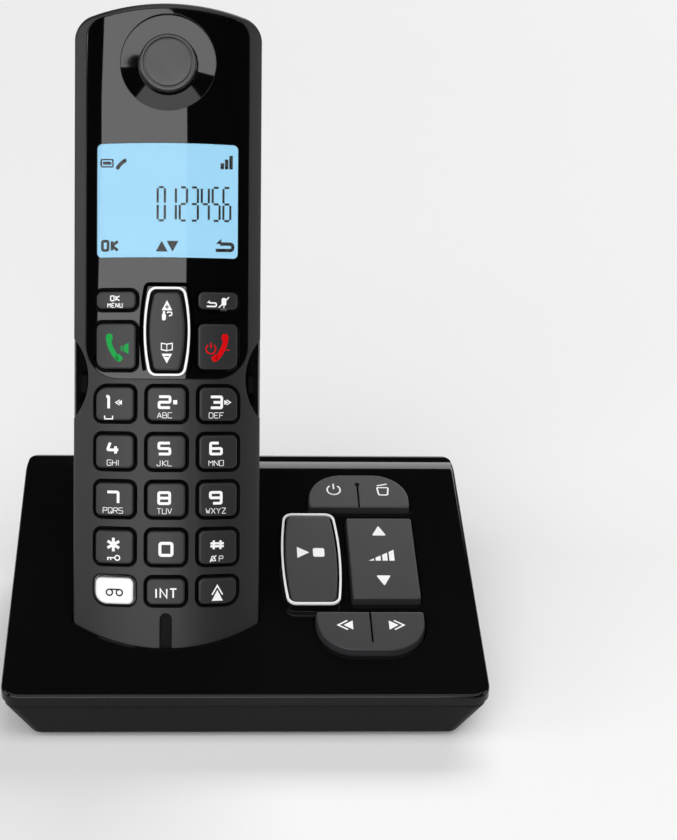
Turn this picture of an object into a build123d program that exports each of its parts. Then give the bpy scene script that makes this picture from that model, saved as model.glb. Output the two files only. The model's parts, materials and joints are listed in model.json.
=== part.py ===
from build123d import *
import os
from math import cos, radians, sin, sqrt, tan

os.makedirs("parts", exist_ok=True)

# Cordless telephone: a handset standing in a sloped answering-machine base.
# Millimetres and degrees. X runs across the base, Y to its back, Z up from the table.

# Base: overall sizes
base_width = 120.0
base_slope_length = 98.5
base_slope = 17.0
base_front_height = 14.0
base_corner = 4.5
base_back_corner = 18.0
foot_height = 1.0
foot_radius = 5.0
foot_side_margin = 20.0
foot_front = 18.0
foot_back_margin = 22.5

# Base: upper cover and lower housing
rim_front = 2.4
rim_back_share = 0.3
rim_back_under = 9.05
cover_wall = 2.0
cover_roll = 14.0
cover_edge = 1.2
housing_step = 0.8
housing_wall = 2.0
housing_side_draft = 6.0
housing_end_draft = 2.0
housing_edge = 1.5
housing_draft_height = 9.0
boss_radius = 2.8
boss_side_margin = 11.0
boss_front = 14.0
boss_back_margin = 20.5
boss_split = 8.0
screw_head_radius = 1.9
screw_head_height = 1.5
screw_shank_radius = 0.9
screw_bite = 4.0
screw_clearance = 0.15

# Base: circuit board, speaker and sockets
board_well_gap = 5.1
board_key_margin = 0.3
base_board_low = 7.0
base_board_back_margin = 21.0
board_thickness = 1.6
mat_thickness = 1.0
base_post_radius = 2.4
base_post_inset = 4.0
base_speaker_radius = 16.0
base_speaker_height = 7.0
base_speaker_magnet_radius = 9.0
base_speaker_rim = 2.2
base_speaker_x = -24.0
base_speaker_shift = 6.75
grille_slot_width = 1.6
grille_slot_pitch = 3.6
grille_slots = 7
socket_width = 13.0
socket_height = 11.0
socket_depth = 14.0
socket_mouth_width = 9.8
socket_mouth_height = 6.8
socket_mouth_depth = 12.0
socket_latch_width = 5.0
socket_latch_height = 1.6
socket_fit = 0.1
line_socket_x = -34.0
power_socket_x = -12.0
socket_z = 15.8

# Base: keys, placed across and up the slope
base_key_height = 2.0
base_key_gap = 0.4
base_key_draft = 8.0
base_key_travel = 1.0
base_key_stem = 4.6
base_key_round = 0.4
base_key_tab = 1.2
base_key_tab_thickness = 1.0
base_key_tab_width = 8.0
pair_shift = 0.05
pair_width = 27.4
pair_depth = 12.4
pair_round = 9.5
top_pair_margin = 29.45
low_pair_y = 19.25
slit_width = 0.5
slit_depth = 2.6
slit_hole_radius = 0.7
top_slit_length = 8.7
low_slit_length = 10.1
volume_shift = 4.85
volume_lift = 0.15
volume_width = 17.6
volume_gap = 4.4
volume_round = 0.8
play_shift = 14.05
play_drop = 0.35
play_ring_width = 15.6
play_ring_gap = 2.6
play_ring_end = 13.4
play_ring_round = 2.6
play_ring_wall = 0.55
play_ring_height = 0.6
play_collar_height = 1.9
play_collar_draft = 14.0
play_key_sink = 0.2

# Handset: overall sizes
handset_x = -20.0
handset_lean = 23.7
handset_width = 47.0
handset_length = 165.4
handset_thickness = 26.0
handset_side_lean = 4.0
handset_back_crown = 1.6
handset_bottom_thickness = 17.0
handset_top_thickness = 20.0
handset_taper_low = 43.0
handset_taper_high = 138.0
handset_taper_round = 40.0
handset_end_round = 4.0
handset_back_round = 6.0
handset_top_corner = 6.0
handset_low_corner = 5.0
handset_rim_round = 1.2
arch_radius = 74.0
crown_under_width = 0.6
parting_share = 0.125
parting_margin = 2.625
handset_wall = 1.8
lip_distance = 15.6
toe_depth = 5.5
well_clearance = 0.4
well_wall = 1.8

# Handset: glossy panel, display and earpiece, heights from the lower end
panel_margin = 3.0
panel_low = 72.3
panel_top_margin = 1.3
panel_low_corner = 8.5
panel_thickness = 1.5
panel_gap = 0.1
panel_overlap = 0.4
ledge_width = 1.3
ledge_top = 0.5
ledge_root = 0.9
ledge_thickness = 1.3
window_margin = 2.95
window_height = 28.3
window_y = 116.7
window_corner = 1.2
window_gap = 0.05
window_back_depth = 5.7
lcd_margin = 1.1
lcd_thickness = 3.0
lcd_gap = 0.1
dish_radius = 11.9
dish_rim_depth = 1.8
dish_depth = 2.4
dish_boss_depth = 3.6
dish_boss_margin = 1.2
earpiece_y = 150.8
earpiece_cap_radius = 7.2
earpiece_disc_radius = 5.75
earpiece_groove = 0.5
earpiece_groove_depth = 1.0
earpiece_cap_gap = 0.1
earpiece_cap_depth = 0.3
earpiece_seat_gap = 0.2
earpiece_edge = 0.4
earpiece_speaker_height = 4.4
earpiece_speaker_radius = 7.8
scallop_y = 72.4
scallop_depth = 3.8
scallop_length = 20.1
scallop_wall = 1.4
scallop_shelf = 1.6
scallop_slope = 35.0
scallop_rim = 0.4

# Handset: keys, heights from the lower end
keypad_margin = 5.35
keypad_bar = 2.25
row_pitch = 11.92
top_row_y = 66.15
key_hole_height = 9.45
low_key_hole_height = 7.6
low_row_y = 19.4
key_gap = 0.55
key_corner = 2.0
key_outer_corner = 3.4
key_rise = 1.1
key_edge = 0.5
key_travel = 0.8
key_stop_gap = 0.15
key_flange = 0.4
key_flange_thickness = 0.8
function_margin = 2.35
function_bar = 1.35
menu_y = 91.95
menu_height = 5.5
call_y = 80.5
call_height = 12.5
call_corner = 2.9
call_flange_corner = 6.8
function_rise = 0.6
nav_y = 84.2
nav_ring_width = 11.6
nav_ring_length = 22.2
nav_ring_end = 9.0
nav_ring_round = 2.2
nav_ring_wall = 0.6
nav_ring_rise = 0.8
nav_gap = 0.8
nav_rise = 0.9
pip_radius = 0.45
pip_height = 0.35
pip_x = 3.4
pip_y = 2.7

# Handset: board, battery and back
board_margin = 6.5
board_low = 3.0
board_top_margin = 7.0
board_corner = 2.5
key_mat_low = 13.0
key_mat_high = 98.0
key_mat_margin = 5.7
front_boss_radius = 2.2
rear_boss_radius = 2.9
handset_boss_margin = 10.5
handset_boss_low = 8.5
handset_boss_high = 134.85
bridge_width = 4.8
screw_seat_depth = 13.5
screw_tip_depth = 6.4
cell_radius = 5.25
cell_length = 44.5
cell_pitch = 10.9
cell_nub_radius = 1.9
cell_nub_length = 0.8
cell_play = 0.2
cell_end_space = 2.6
pocket_low = 53.0
pocket_wall = 1.2
pocket_board_gap = 1.5
contact_width = 7.0
contact_thickness = 0.5
door_low = 49.5
door_high = 111.0
door_margin = 5.0
door_corner = 3.0
door_thickness = 1.3
door_gap = 0.3
door_seat_gap = 0.15
door_grip_width = 14.0
door_grip_pitch = 2.4
door_grip_count = 4
door_grip_depth = 0.5
door_grip_thickness = 1.0
door_grip_margin = 5.0
ringer_radius = 9.5
ringer_height = 4.5
ringer_y = 126.0
ringer_wall = 1.2
ringer_sag = 0.5
ringer_slots = 5
ringer_slot_pitch = 3.2
ringer_slot_width = 1.2
charge_contact_margin = 9.5
charge_contact_depth = 11.2
charge_contact_width = 4.0
charge_contact_length = 3.6
charge_contact_height = 2.3
charge_pin_radius = 1.1
charge_pin_flange_radius = 1.9
charge_pin_flange = 0.8
charge_pin_play = 0.15
charge_pin_gap = 0.1
charge_pin_tail = 1.2
mic_slot_width = 3.05
mic_slot_top = 13.9
mic_boot_sink = 0.6
mic_radius = 2.6
mic_height = 3.0
mic_y = 7.0
mic_boot_gap = 0.2
piece_fit = 0.05
beyond = 60.0
proud = 6.0
hair = 0.02

# Widths and places that follow the handset's width
handset_back_width = handset_width - 2 * handset_side_lean
crown_radius = handset_width - crown_under_width
parting_depth = parting_share * handset_width + parting_margin
panel_width = handset_width - 2 * panel_margin
window_width = panel_width - 2 * window_margin
key_hole_width = (handset_width - 2 * keypad_margin - 2 * keypad_bar) / 3
column_pitch = key_hole_width + keypad_bar
function_width = panel_width / 2 - function_margin - function_bar - nav_ring_width / 2
function_column = panel_width / 2 - function_margin - function_width / 2
board_width = handset_width - 2 * board_margin
key_mat_width = handset_width - 2 * key_mat_margin
handset_boss_x = handset_width / 2 - handset_boss_margin
door_width = handset_back_width - 2 * door_margin
charge_contact_x = handset_width / 2 - charge_contact_margin

# Widths and places that follow the base's width and length
foot_spread = base_width - 2 * foot_side_margin
foot_back = base_slope_length - foot_back_margin
boss_spread = base_width - 2 * boss_side_margin
boss_back = base_slope_length - boss_back_margin
rim_back = rim_back_share * base_slope_length - rim_back_under
base_speaker_y = base_slope_length / 2 + base_speaker_shift
handset_right = handset_x + handset_width / 2
keys_middle = (handset_right + base_width / 2) / 2
pair_x = keys_middle + pair_shift
top_pair_y = base_slope_length - top_pair_margin
pairs_middle = (top_pair_y + low_pair_y) / 2
between_pairs = top_pair_y - low_pair_y - pair_depth
volume_x = keys_middle + volume_shift
volume_y = pairs_middle + volume_lift
volume_length = between_pairs - 2 * volume_gap
play_x = keys_middle - play_shift
play_y = pairs_middle - play_drop
play_ring_length = between_pairs - 2 * play_ring_gap
base_board_left = handset_right + board_well_gap
base_board_right = pair_x + pair_width / 2 + board_key_margin
base_board_high = base_slope_length - base_board_back_margin

# Directions and planes of the two leaning bodies
slope = radians(base_slope)
lean = radians(handset_lean)
up_slope = Vector(0, cos(slope), sin(slope))
off_slope = Vector(0, -sin(slope), cos(slope))
up_handset = Vector(0, sin(lean), cos(lean))
off_face = Vector(0, -cos(lean), sin(lean))
base_depth = base_slope_length * cos(slope)
base_rise = base_slope_length * sin(slope)
handset_reach = (
    lip_distance * cos(slope)
    + (handset_length - toe_depth - handset_end_round) * sin(lean)
    + (handset_top_thickness - handset_end_round) * cos(lean)
    + handset_end_round
)
front_y = -handset_reach / 2
back_y = front_y + base_depth
front_edge = Vector(0, front_y, base_front_height)
lip = front_edge + up_slope * lip_distance + Vector(handset_x, 0, 0)
toe = lip - up_handset * toe_depth

# top: across and up the slope. face: across and up the handset, outwards.
# section: across and into the handset. side: into and up the handset.
top = Plane(origin=front_edge, x_dir=(1, 0, 0), z_dir=off_slope)
face = Plane(origin=toe, x_dir=(1, 0, 0), z_dir=off_face)
section = Plane(origin=toe, x_dir=(1, 0, 0), z_dir=up_handset)
side = Plane(origin=toe, x_dir=-off_face, z_dir=(1, 0, 0))
parting = face.offset(-parting_depth)
table = Plane.XY

# Depths inside the handset, counted from the crest of its face
lcd_front = window_back_depth + lcd_gap
board_front = lcd_front + lcd_thickness + lcd_gap
board_back = board_front + board_thickness
key_mat_front = board_front - mat_thickness
key_foot = key_mat_front - key_travel - key_stop_gap

# Heights of the base's layers below its sloping top
base_key_foot = base_key_stem
base_mat_front = base_key_foot + base_key_travel + key_stop_gap
base_board_front = base_mat_front + mat_thickness
base_board_back = base_board_front + board_thickness
housing_floor = foot_height + housing_wall
split_front = base_front_height - rim_front
split_back = base_front_height + base_rise - rim_back
cover_split = Plane(
    origin=(0, front_y, split_front),
    x_dir=(1, 0, 0),
    z_dir=(0, split_front - split_back, base_depth),
)


def crown_depth(across, inset=0.0):
    """Depth of the crowned face, drawn in by inset, at a distance across."""
    return crown_radius - sqrt((crown_radius - inset) ** 2 - across**2)


def arched(half, low, inset, low_corner, high_corner):
    """Flat outline under the handset's arched top, drawn in from it by inset."""
    reach = arch_radius - inset
    shoulder = handset_length - arch_radius + sqrt(reach**2 - half**2)
    with BuildSketch(mode=Mode.PRIVATE) as outline:
        with BuildLine():
            ThreePointArc((half, shoulder), (0, handset_length - inset), (-half, shoulder))
            Polyline((-half, shoulder), (-half, low), (half, low), (half, shoulder))
        make_face()
        fillet(outline.vertices().group_by(Axis.Y)[0], low_corner)
        fillet(outline.vertices().group_by(Axis.Y)[-1], high_corner)
    return outline.sketch


def barrel(width, length, end, corner):
    """Upright barrel outline with bowed sides and flat ends."""
    with BuildSketch(mode=Mode.PRIVATE) as outline:
        with BuildLine():
            ThreePointArc((end / 2, -length / 2), (width / 2, 0), (end / 2, length / 2))
            Line((end / 2, length / 2), (-end / 2, length / 2))
            ThreePointArc((-end / 2, length / 2), (-width / 2, 0), (-end / 2, -length / 2))
            Line((-end / 2, -length / 2), (end / 2, -length / 2))
        make_face()
        fillet(outline.vertices(), corner)
    return outline.sketch


def rounded(width, height, corners):
    """Rectangle whose corners, from lower left anticlockwise, have their own radii."""
    with BuildSketch(mode=Mode.PRIVATE) as outline:
        with BuildLine():
            FilletPolyline(
                (-width / 2, -height / 2),
                (width / 2, -height / 2),
                (width / 2, height / 2),
                (-width / 2, height / 2),
                radius=corners,
                close=True,
            )
        make_face()
    return outline.sketch


def handset_form(inset):
    """The handset's outer form, drawn in by inset all round."""
    half = handset_width / 2 - inset
    edge = crown_depth(half, inset)
    back_half = handset_back_width / 2 - inset
    back_edge = handset_thickness - handset_back_crown - inset
    back_crest = handset_thickness - inset
    outline = arched(
        half + hair,
        inset - hair,
        inset,
        handset_low_corner - inset,
        handset_top_corner - inset,
    )
    with BuildPart(mode=Mode.PRIVATE) as form:
        with BuildSketch(section.offset(-proud)):
            with BuildLine():
                ThreePointArc((-half, edge), (0, inset), (half, edge))
                Polyline((half, edge), (half, parting_depth), (back_half, back_edge))
                ThreePointArc((back_half, back_edge), (0, back_crest), (-back_half, back_edge))
                Polyline((-back_half, back_edge), (-half, parting_depth), (-half, edge))
            make_face()
            fillet(vertices().group_by(Axis.Y)[-1], handset_back_round - inset)
        extrude(amount=handset_length + 2 * proud)
        with BuildSketch(side):
            with BuildLine():
                FilletPolyline(
                    (-beyond, inset),
                    (handset_bottom_thickness - inset, inset),
                    (back_crest, handset_taper_low),
                    (back_crest, handset_taper_high),
                    (handset_top_thickness - inset, handset_length - inset + hair),
                    (-beyond, handset_length - inset + hair),
                    radius=(
                        0,
                        handset_end_round - inset,
                        handset_taper_round,
                        handset_taper_round,
                        handset_end_round - inset,
                        0,
                    ),
                    close=True,
                )
            make_face()
        extrude(amount=handset_width, both=True, mode=Mode.INTERSECT)
        with BuildSketch(face):
            add(outline)
        extrude(amount=beyond, both=True, mode=Mode.INTERSECT)
    return form.part


def well_form(room):
    """Space that the handset's lower end needs, with room all round it."""
    half = handset_width / 2 + room
    edge = crown_depth(half, -room)
    with BuildPart(mode=Mode.PRIVATE) as form:
        with BuildSketch(section.offset(-room)):
            with BuildLine():
                ThreePointArc((-half, edge), (0, -room), (half, edge))
                Polyline((half, edge), (half, beyond), (-half, beyond), (-half, edge))
            make_face()
        extrude(amount=beyond)
        with BuildSketch(side):
            with BuildLine():
                Polyline(
                    (-beyond, -room),
                    (handset_bottom_thickness + room, -room),
                    (handset_thickness + room, handset_taper_low),
                    (handset_thickness + room, beyond),
                    (-beyond, beyond),
                    close=True,
                )
            make_face()
        extrude(amount=handset_width, both=True, mode=Mode.INTERSECT)
    return form.part


def base_plan(width, depth, inset):
    """Plan of the base with wide back corners, their radii drawn in by inset."""
    front, back = base_corner - inset, base_back_corner - inset
    return rounded(width, depth, [front, front, back, back])


def cover_form(inset):
    """The base's wedge with its rolled back edge, drawn in by inset and open below."""
    end = back_y - inset
    level = base_front_height - inset / cos(slope)
    with BuildPart(mode=Mode.PRIVATE) as form:
        with BuildSketch(table.offset(-beyond)):
            with Locations((0, (front_y + back_y) / 2)):
                add(base_plan(base_width - 2 * inset, base_depth - 2 * inset, inset))
        extrude(amount=3 * beyond)
        split(bisect_by=top.offset(-inset), keep=Keep.BOTTOM)
        if inset == 0:
            fillet(form.faces().sort_by(Axis.Z)[-1].edges(), cover_edge)
        with BuildSketch(Plane.YZ):
            with BuildLine():
                FilletPolyline(
                    (front_y - beyond, -2 * beyond),
                    (front_y - beyond, level - beyond * tan(slope)),
                    (end, level + (end - front_y) * tan(slope)),
                    (end, -2 * beyond),
                    radius=(0, 0, cover_roll - inset, 0),
                    close=True,
                )
            make_face()
        extrude(amount=base_width, both=True, mode=Mode.INTERSECT)
    return form.part


def housing_form(inset):
    """The base's drafted lower tub, drawn in by inset, running up past its parting plane."""
    width = base_width - 2 * housing_step - 2 * inset
    depth = base_depth - 2 * housing_step - 2 * inset
    middle = (front_y + back_y) / 2
    waist = foot_height + housing_draft_height
    floor_plan = base_plan(width - 2 * housing_side_draft, depth - 2 * housing_end_draft, housing_step)
    waist_plan = base_plan(width, depth, housing_step)
    with BuildPart(mode=Mode.PRIVATE) as form:
        with BuildSketch(table.offset(foot_height + inset)):
            with Locations((0, middle)):
                add(floor_plan)
        with BuildSketch(table.offset(waist)):
            with Locations((0, middle)):
                add(waist_plan)
        loft(ruled=True)
        if inset == 0:
            fillet(form.faces().sort_by(Axis.Z)[0].edges(), housing_edge)
        with BuildSketch(table.offset(waist)):
            with Locations((0, middle)):
                add(waist_plan)
        extrude(amount=beyond)
    return form.part


def crown_prism(rise):
    """Round bar whose front is the handset's crowned face, raised by rise."""
    with BuildPart(mode=Mode.PRIVATE) as bar:
        with BuildSketch(section):
            with Locations((0, crown_radius)):
                Circle(crown_radius + rise)
        extrude(amount=handset_length)
    return bar.part


def face_prism(outline, x, y, deep, high=proud):
    """An outline on the handset's face, swept straight from a depth to a height."""
    with BuildPart(mode=Mode.PRIVATE) as prism:
        with BuildSketch(face.offset(-deep)):
            with Locations((x, y)):
                add(outline)
        extrude(amount=deep + high)
    return prism.part


def slope_prism(outline, x, y, deep, high):
    """An outline on the base's sloping top, swept straight from a depth to a height."""
    with BuildPart(mode=Mode.PRIVATE) as prism:
        with BuildSketch(top.offset(-deep)):
            with Locations((x, y)):
                add(outline)
        extrude(amount=deep + high)
    return prism.part


def save(builder, name):
    """Label a finished piece and write it."""
    builder.part.label = name
    export_step(builder.part, f"parts/{name}.step")


# Shared forms
with BuildPart() as rounded_form:
    add(handset_form(0))
    crown_face = rounded_form.faces().sort_by(Axis(toe, off_face))[-1]
    fillet(crown_face.edges(), handset_rim_round)
handset_outer = rounded_form.part
handset_inner = handset_form(handset_wall)
panel_half = panel_width / 2
panel_outline = arched(
    panel_half, panel_low, panel_top_margin, panel_low_corner, handset_top_corner - panel_top_margin
)
panel_opening = arched(
    panel_half - ledge_width,
    panel_low + ledge_width,
    panel_top_margin + ledge_top,
    panel_low_corner - ledge_width,
    handset_top_corner - panel_top_margin - ledge_width,
)
ledge_outline = arched(
    panel_half + ledge_root,
    panel_low - ledge_root,
    0,
    panel_low_corner + ledge_root,
    handset_top_corner,
)
panel_plug = arched(
    panel_half - panel_gap,
    panel_low + panel_gap,
    panel_top_margin + panel_gap,
    panel_low_corner - panel_gap,
    handset_top_corner - panel_top_margin - panel_gap,
)
boss_limit = arched(
    panel_half - ledge_width - panel_gap,
    panel_low + ledge_width,
    panel_top_margin + ledge_top + panel_gap,
    panel_low_corner,
    handset_top_corner - panel_top_margin - ledge_width,
)
under_panel = handset_form(panel_thickness)
under_ledge = handset_form(panel_thickness + ledge_thickness)
window_outline = rounded(window_width, window_height, [window_corner] * 4)
nav_hole = barrel(nav_ring_width, nav_ring_length, nav_ring_end, nav_ring_round)

scallop_radius = (scallop_length**2 / 4 + scallop_depth**2) / (2 * scallop_depth)
scallop_x = handset_width / 2 - scallop_depth + scallop_radius
scallop_sites = [(-scallop_x, scallop_y), (scallop_x, scallop_y)]
scallop_inner = handset_width / 2 - scallop_depth
scallop_outer = handset_width / 2 - scallop_rim
scallop_drop = (scallop_depth - scallop_rim) * tan(radians(scallop_slope))
charge_sites = [(-charge_contact_x, charge_contact_depth), (charge_contact_x, charge_contact_depth)]
boss_sites = [
    (across * handset_boss_x, height)
    for across in (-1, 1)
    for height in (handset_boss_low, handset_boss_high)
]


def key_corners(big=None, radius=key_corner):
    """Four corner radii, with one of them big where a key ends its block."""
    corners = [key_corner] * 4
    if big is not None:
        corners[big] = radius
    return corners


LOWER_LEFT, LOWER_RIGHT, UPPER_RIGHT, UPPER_LEFT = range(4)

# Keypad keys: place on the face, hole size and corner radii
keypad = {}
number_rows = (
    ("key_1", "key_2", "key_3"),
    ("key_4", "key_5", "key_6"),
    ("key_7", "key_8", "key_9"),
    ("key_star", "key_0", "key_hash"),
)
for row, names in enumerate(number_rows):
    for column, name in enumerate(names):
        place = ((column - 1) * column_pitch, top_row_y - row * row_pitch)
        keypad[name] = (*place, key_hole_width, key_hole_height, key_corners())
for column, name in enumerate(("key_answerphone", "key_intercom", "key_redial")):
    place = ((column - 1) * column_pitch, low_row_y)
    keypad[name] = (*place, key_hole_width, low_key_hole_height, key_corners())
for name, big in (
    ("key_1", UPPER_LEFT),
    ("key_3", UPPER_RIGHT),
    ("key_answerphone", LOWER_LEFT),
    ("key_redial", LOWER_RIGHT),
):
    keypad[name] = (*keypad[name][:4], key_corners(big, key_outer_corner))

# Function keys beside the rocker, set in the glossy panel
function_keys = {
    "key_menu": (-function_column, menu_y, function_width, menu_height, key_corners()),
    "key_mute": (function_column, menu_y, function_width, menu_height, key_corners()),
    "key_call": (
        -function_column,
        call_y,
        function_width,
        call_height,
        key_corners(LOWER_LEFT, call_corner),
    ),
    "key_end": (
        function_column,
        call_y,
        function_width,
        call_height,
        key_corners(LOWER_RIGHT, call_corner),
    ),
}
call_flanges = {
    "key_call": key_corners(LOWER_LEFT, call_flange_corner),
    "key_end": key_corners(LOWER_RIGHT, call_flange_corner),
}


def key_hole(place):
    """Straight hole that a key of the handset moves in."""
    x, y, width, height, corners = place
    return face_prism(rounded(width, height, corners), x, y, handset_thickness)


def handset_key(place, rise, flange_corners=None, with_pip=False):
    """A key with a crowned, rounded top, a flange that keeps it in, and perhaps a touch pip."""
    x, y, width, height, corners = place
    flange_corners = flange_corners or [r + key_flange for r in corners]
    cap = rounded(width - 2 * key_gap, height - 2 * key_gap, [r - key_gap for r in corners])
    foot = rounded(width + 2 * key_flange, height + 2 * key_flange, flange_corners)
    crowned_bar = crown_prism(rise)
    with BuildPart(mode=Mode.PRIVATE) as key:
        with BuildSketch(face.offset(-key_foot)):
            with Locations((x, y)):
                add(cap)
        extrude(amount=key_foot + proud)
        add(crowned_bar, mode=Mode.INTERSECT)
        key_top = key.faces().sort_by(Axis(toe, off_face))[-1]
        fillet(key_top.edges(), key_edge)
        with BuildSketch(face.offset(-key_foot)):
            with Locations((x, y)):
                add(foot)
        extrude(amount=key_flange_thickness)
        if with_pip:
            with BuildSketch(face):
                with Locations((x + pip_x, y - pip_y)):
                    Circle(pip_radius)
            extrude(amount=rise + pip_height - crown_depth(x + pip_x))
    return key


# Handset front case: matte crowned shell with a ledge for the panel, holes for the keys,
# side scallops at the waist and a slot for the microphone
with BuildPart() as panel_recess:
    add(face_prism(panel_outline, 0, 0, parting_depth))
    add(under_panel, mode=Mode.SUBTRACT)
with BuildPart() as panel_through:
    add(face_prism(panel_opening, 0, 0, parting_depth))
    with BuildSketch(face.offset(-parting_depth)):
        with Locations((0, handset_boss_high)):
            Rectangle(handset_width, bridge_width)
    extrude(amount=parting_depth + proud, mode=Mode.SUBTRACT)
with BuildPart() as panel_ledge:
    add(face_prism(ledge_outline, 0, 0, parting_depth))
    add(under_ledge, mode=Mode.SUBTRACT)
with BuildPart() as front_hollow:
    add(handset_inner)
    add(panel_ledge.part, mode=Mode.SUBTRACT)
    with BuildSketch(face.offset(-handset_thickness)):
        with Locations(*scallop_sites):
            Circle(scallop_radius + scallop_wall)
    extrude(amount=handset_thickness + proud, mode=Mode.SUBTRACT)
    with BuildSketch(face.offset(-board_front)):
        with Locations(*boss_sites):
            Circle(front_boss_radius)
    extrude(amount=board_front + proud, mode=Mode.SUBTRACT)
mic_slot = rounded(mic_slot_width, 2 * mic_slot_top, [0, 0, mic_slot_width / 2, mic_slot_width / 2])

with BuildPart() as handset_front_case:
    add(handset_outer)
    split(bisect_by=parting, keep=Keep.TOP)
    add(front_hollow.part, mode=Mode.SUBTRACT)
    add(panel_recess.part, mode=Mode.SUBTRACT)
    add(panel_through.part, mode=Mode.SUBTRACT)
    with BuildSketch(face.offset(-handset_thickness)):
        with Locations(*scallop_sites):
            Circle(scallop_radius)
    extrude(amount=handset_thickness + proud, mode=Mode.SUBTRACT)
    for place in (*keypad.values(), *function_keys.values()):
        add(key_hole(place), mode=Mode.SUBTRACT)
    add(face_prism(mic_slot, 0, 0, parting_depth), mode=Mode.SUBTRACT)
    with BuildSketch(parting):
        with Locations(*boss_sites):
            Circle(screw_shank_radius)
    extrude(amount=parting_depth - screw_tip_depth, mode=Mode.SUBTRACT)
save(handset_front_case, "handset_front_case")

# Handset rear case: glossy tapered shell with the battery pocket, screw bosses, ringer grille
# and the shelves that close the waist scallops
pocket_half = cell_pitch / 2 + cell_radius + cell_play
pocket_length = cell_length + cell_nub_length + 2 * cell_end_space
pocket_y = pocket_low + pocket_length / 2
pocket_roof = board_back + pocket_board_gap
pocket_floor = pocket_roof + pocket_wall
door_y = (door_low + door_high) / 2
door_length = door_high - door_low
door_outline = rounded(door_width, door_length, [door_corner] * 4)
door_recess_outline = rounded(
    door_width + 2 * door_gap, door_length + 2 * door_gap, [door_corner + door_gap] * 4
)
ringer_front = handset_thickness - handset_wall - ringer_sag - ringer_height
with BuildPart() as door_recess:
    with BuildSketch(face.offset(-board_back)):
        with Locations((0, door_y)):
            add(door_recess_outline)
    extrude(amount=-handset_thickness)
    add(handset_form(door_thickness + door_seat_gap), mode=Mode.SUBTRACT)
with BuildPart() as rear_hollow:
    add(handset_inner)
    with BuildSketch(face.offset(-pocket_roof)):
        with Locations((0, pocket_y)):
            Rectangle(2 * (pocket_half + pocket_wall), pocket_length + 2 * pocket_wall)
    extrude(amount=-handset_thickness, mode=Mode.SUBTRACT)
    with BuildSketch(face.offset(-board_back)):
        with Locations(*boss_sites):
            Circle(rear_boss_radius)
    extrude(amount=-handset_thickness, mode=Mode.SUBTRACT)
    with BuildSketch(face.offset(-ringer_front)):
        with Locations((0, ringer_y)):
            Circle(ringer_radius + piece_fit + ringer_wall)
            Circle(ringer_radius + piece_fit, mode=Mode.SUBTRACT)
    extrude(amount=-handset_thickness, mode=Mode.SUBTRACT)
    with BuildSketch(parting):
        with Locations(*scallop_sites):
            Circle(scallop_radius + scallop_wall)
    extrude(amount=-scallop_shelf - scallop_drop, mode=Mode.SUBTRACT)
with BuildPart() as scallop_slopes:
    with BuildSketch(section.offset(scallop_y - scallop_length)):
        for across in (-1, 1):
            with BuildLine():
                Polyline(
                    (across * scallop_inner, parting_depth - hair),
                    (across * scallop_outer, parting_depth - hair),
                    (across * scallop_outer, parting_depth),
                    (across * scallop_inner, parting_depth + scallop_drop),
                    close=True,
                )
            make_face()
    extrude(amount=2 * scallop_length)
    with BuildSketch(face.offset(-handset_thickness)):
        with Locations(*scallop_sites):
            Circle(scallop_radius)
    extrude(amount=handset_thickness + proud, mode=Mode.INTERSECT)

with BuildPart() as handset_rear_case:
    add(handset_outer)
    split(bisect_by=parting, keep=Keep.BOTTOM)
    add(rear_hollow.part, mode=Mode.SUBTRACT)
    add(door_recess.part, mode=Mode.SUBTRACT)
    add(scallop_slopes.part, mode=Mode.SUBTRACT)
    with BuildSketch(face.offset(-pocket_floor)):
        with Locations((0, pocket_y)):
            Rectangle(2 * pocket_half, pocket_length)
    extrude(amount=-handset_thickness, mode=Mode.SUBTRACT)
    with BuildSketch(face.offset(-screw_seat_depth)):
        with Locations(*boss_sites):
            Circle(screw_head_radius + screw_clearance)
    extrude(amount=-handset_thickness, mode=Mode.SUBTRACT)
    with BuildSketch(face.offset(-board_back)):
        with Locations(*boss_sites):
            Circle(screw_shank_radius + screw_clearance)
    extrude(amount=-handset_thickness, mode=Mode.SUBTRACT)
    with BuildSketch(face.offset(-ringer_front)):
        for slot in range(ringer_slots):
            from_middle = (slot - (ringer_slots - 1) / 2) * ringer_slot_pitch
            chord = 2 * sqrt((ringer_radius - ringer_wall) ** 2 - from_middle**2)
            with Locations((0, ringer_y + from_middle)):
                SlotOverall(chord, ringer_slot_width)
    extrude(amount=-handset_thickness, mode=Mode.SUBTRACT)
    with BuildSketch(section):
        with Locations(*charge_sites):
            Rectangle(charge_contact_width + 2 * piece_fit, charge_contact_length + 2 * piece_fit)
    extrude(amount=charge_contact_height, both=True, mode=Mode.SUBTRACT)
save(handset_rear_case, "handset_rear_case")

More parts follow.
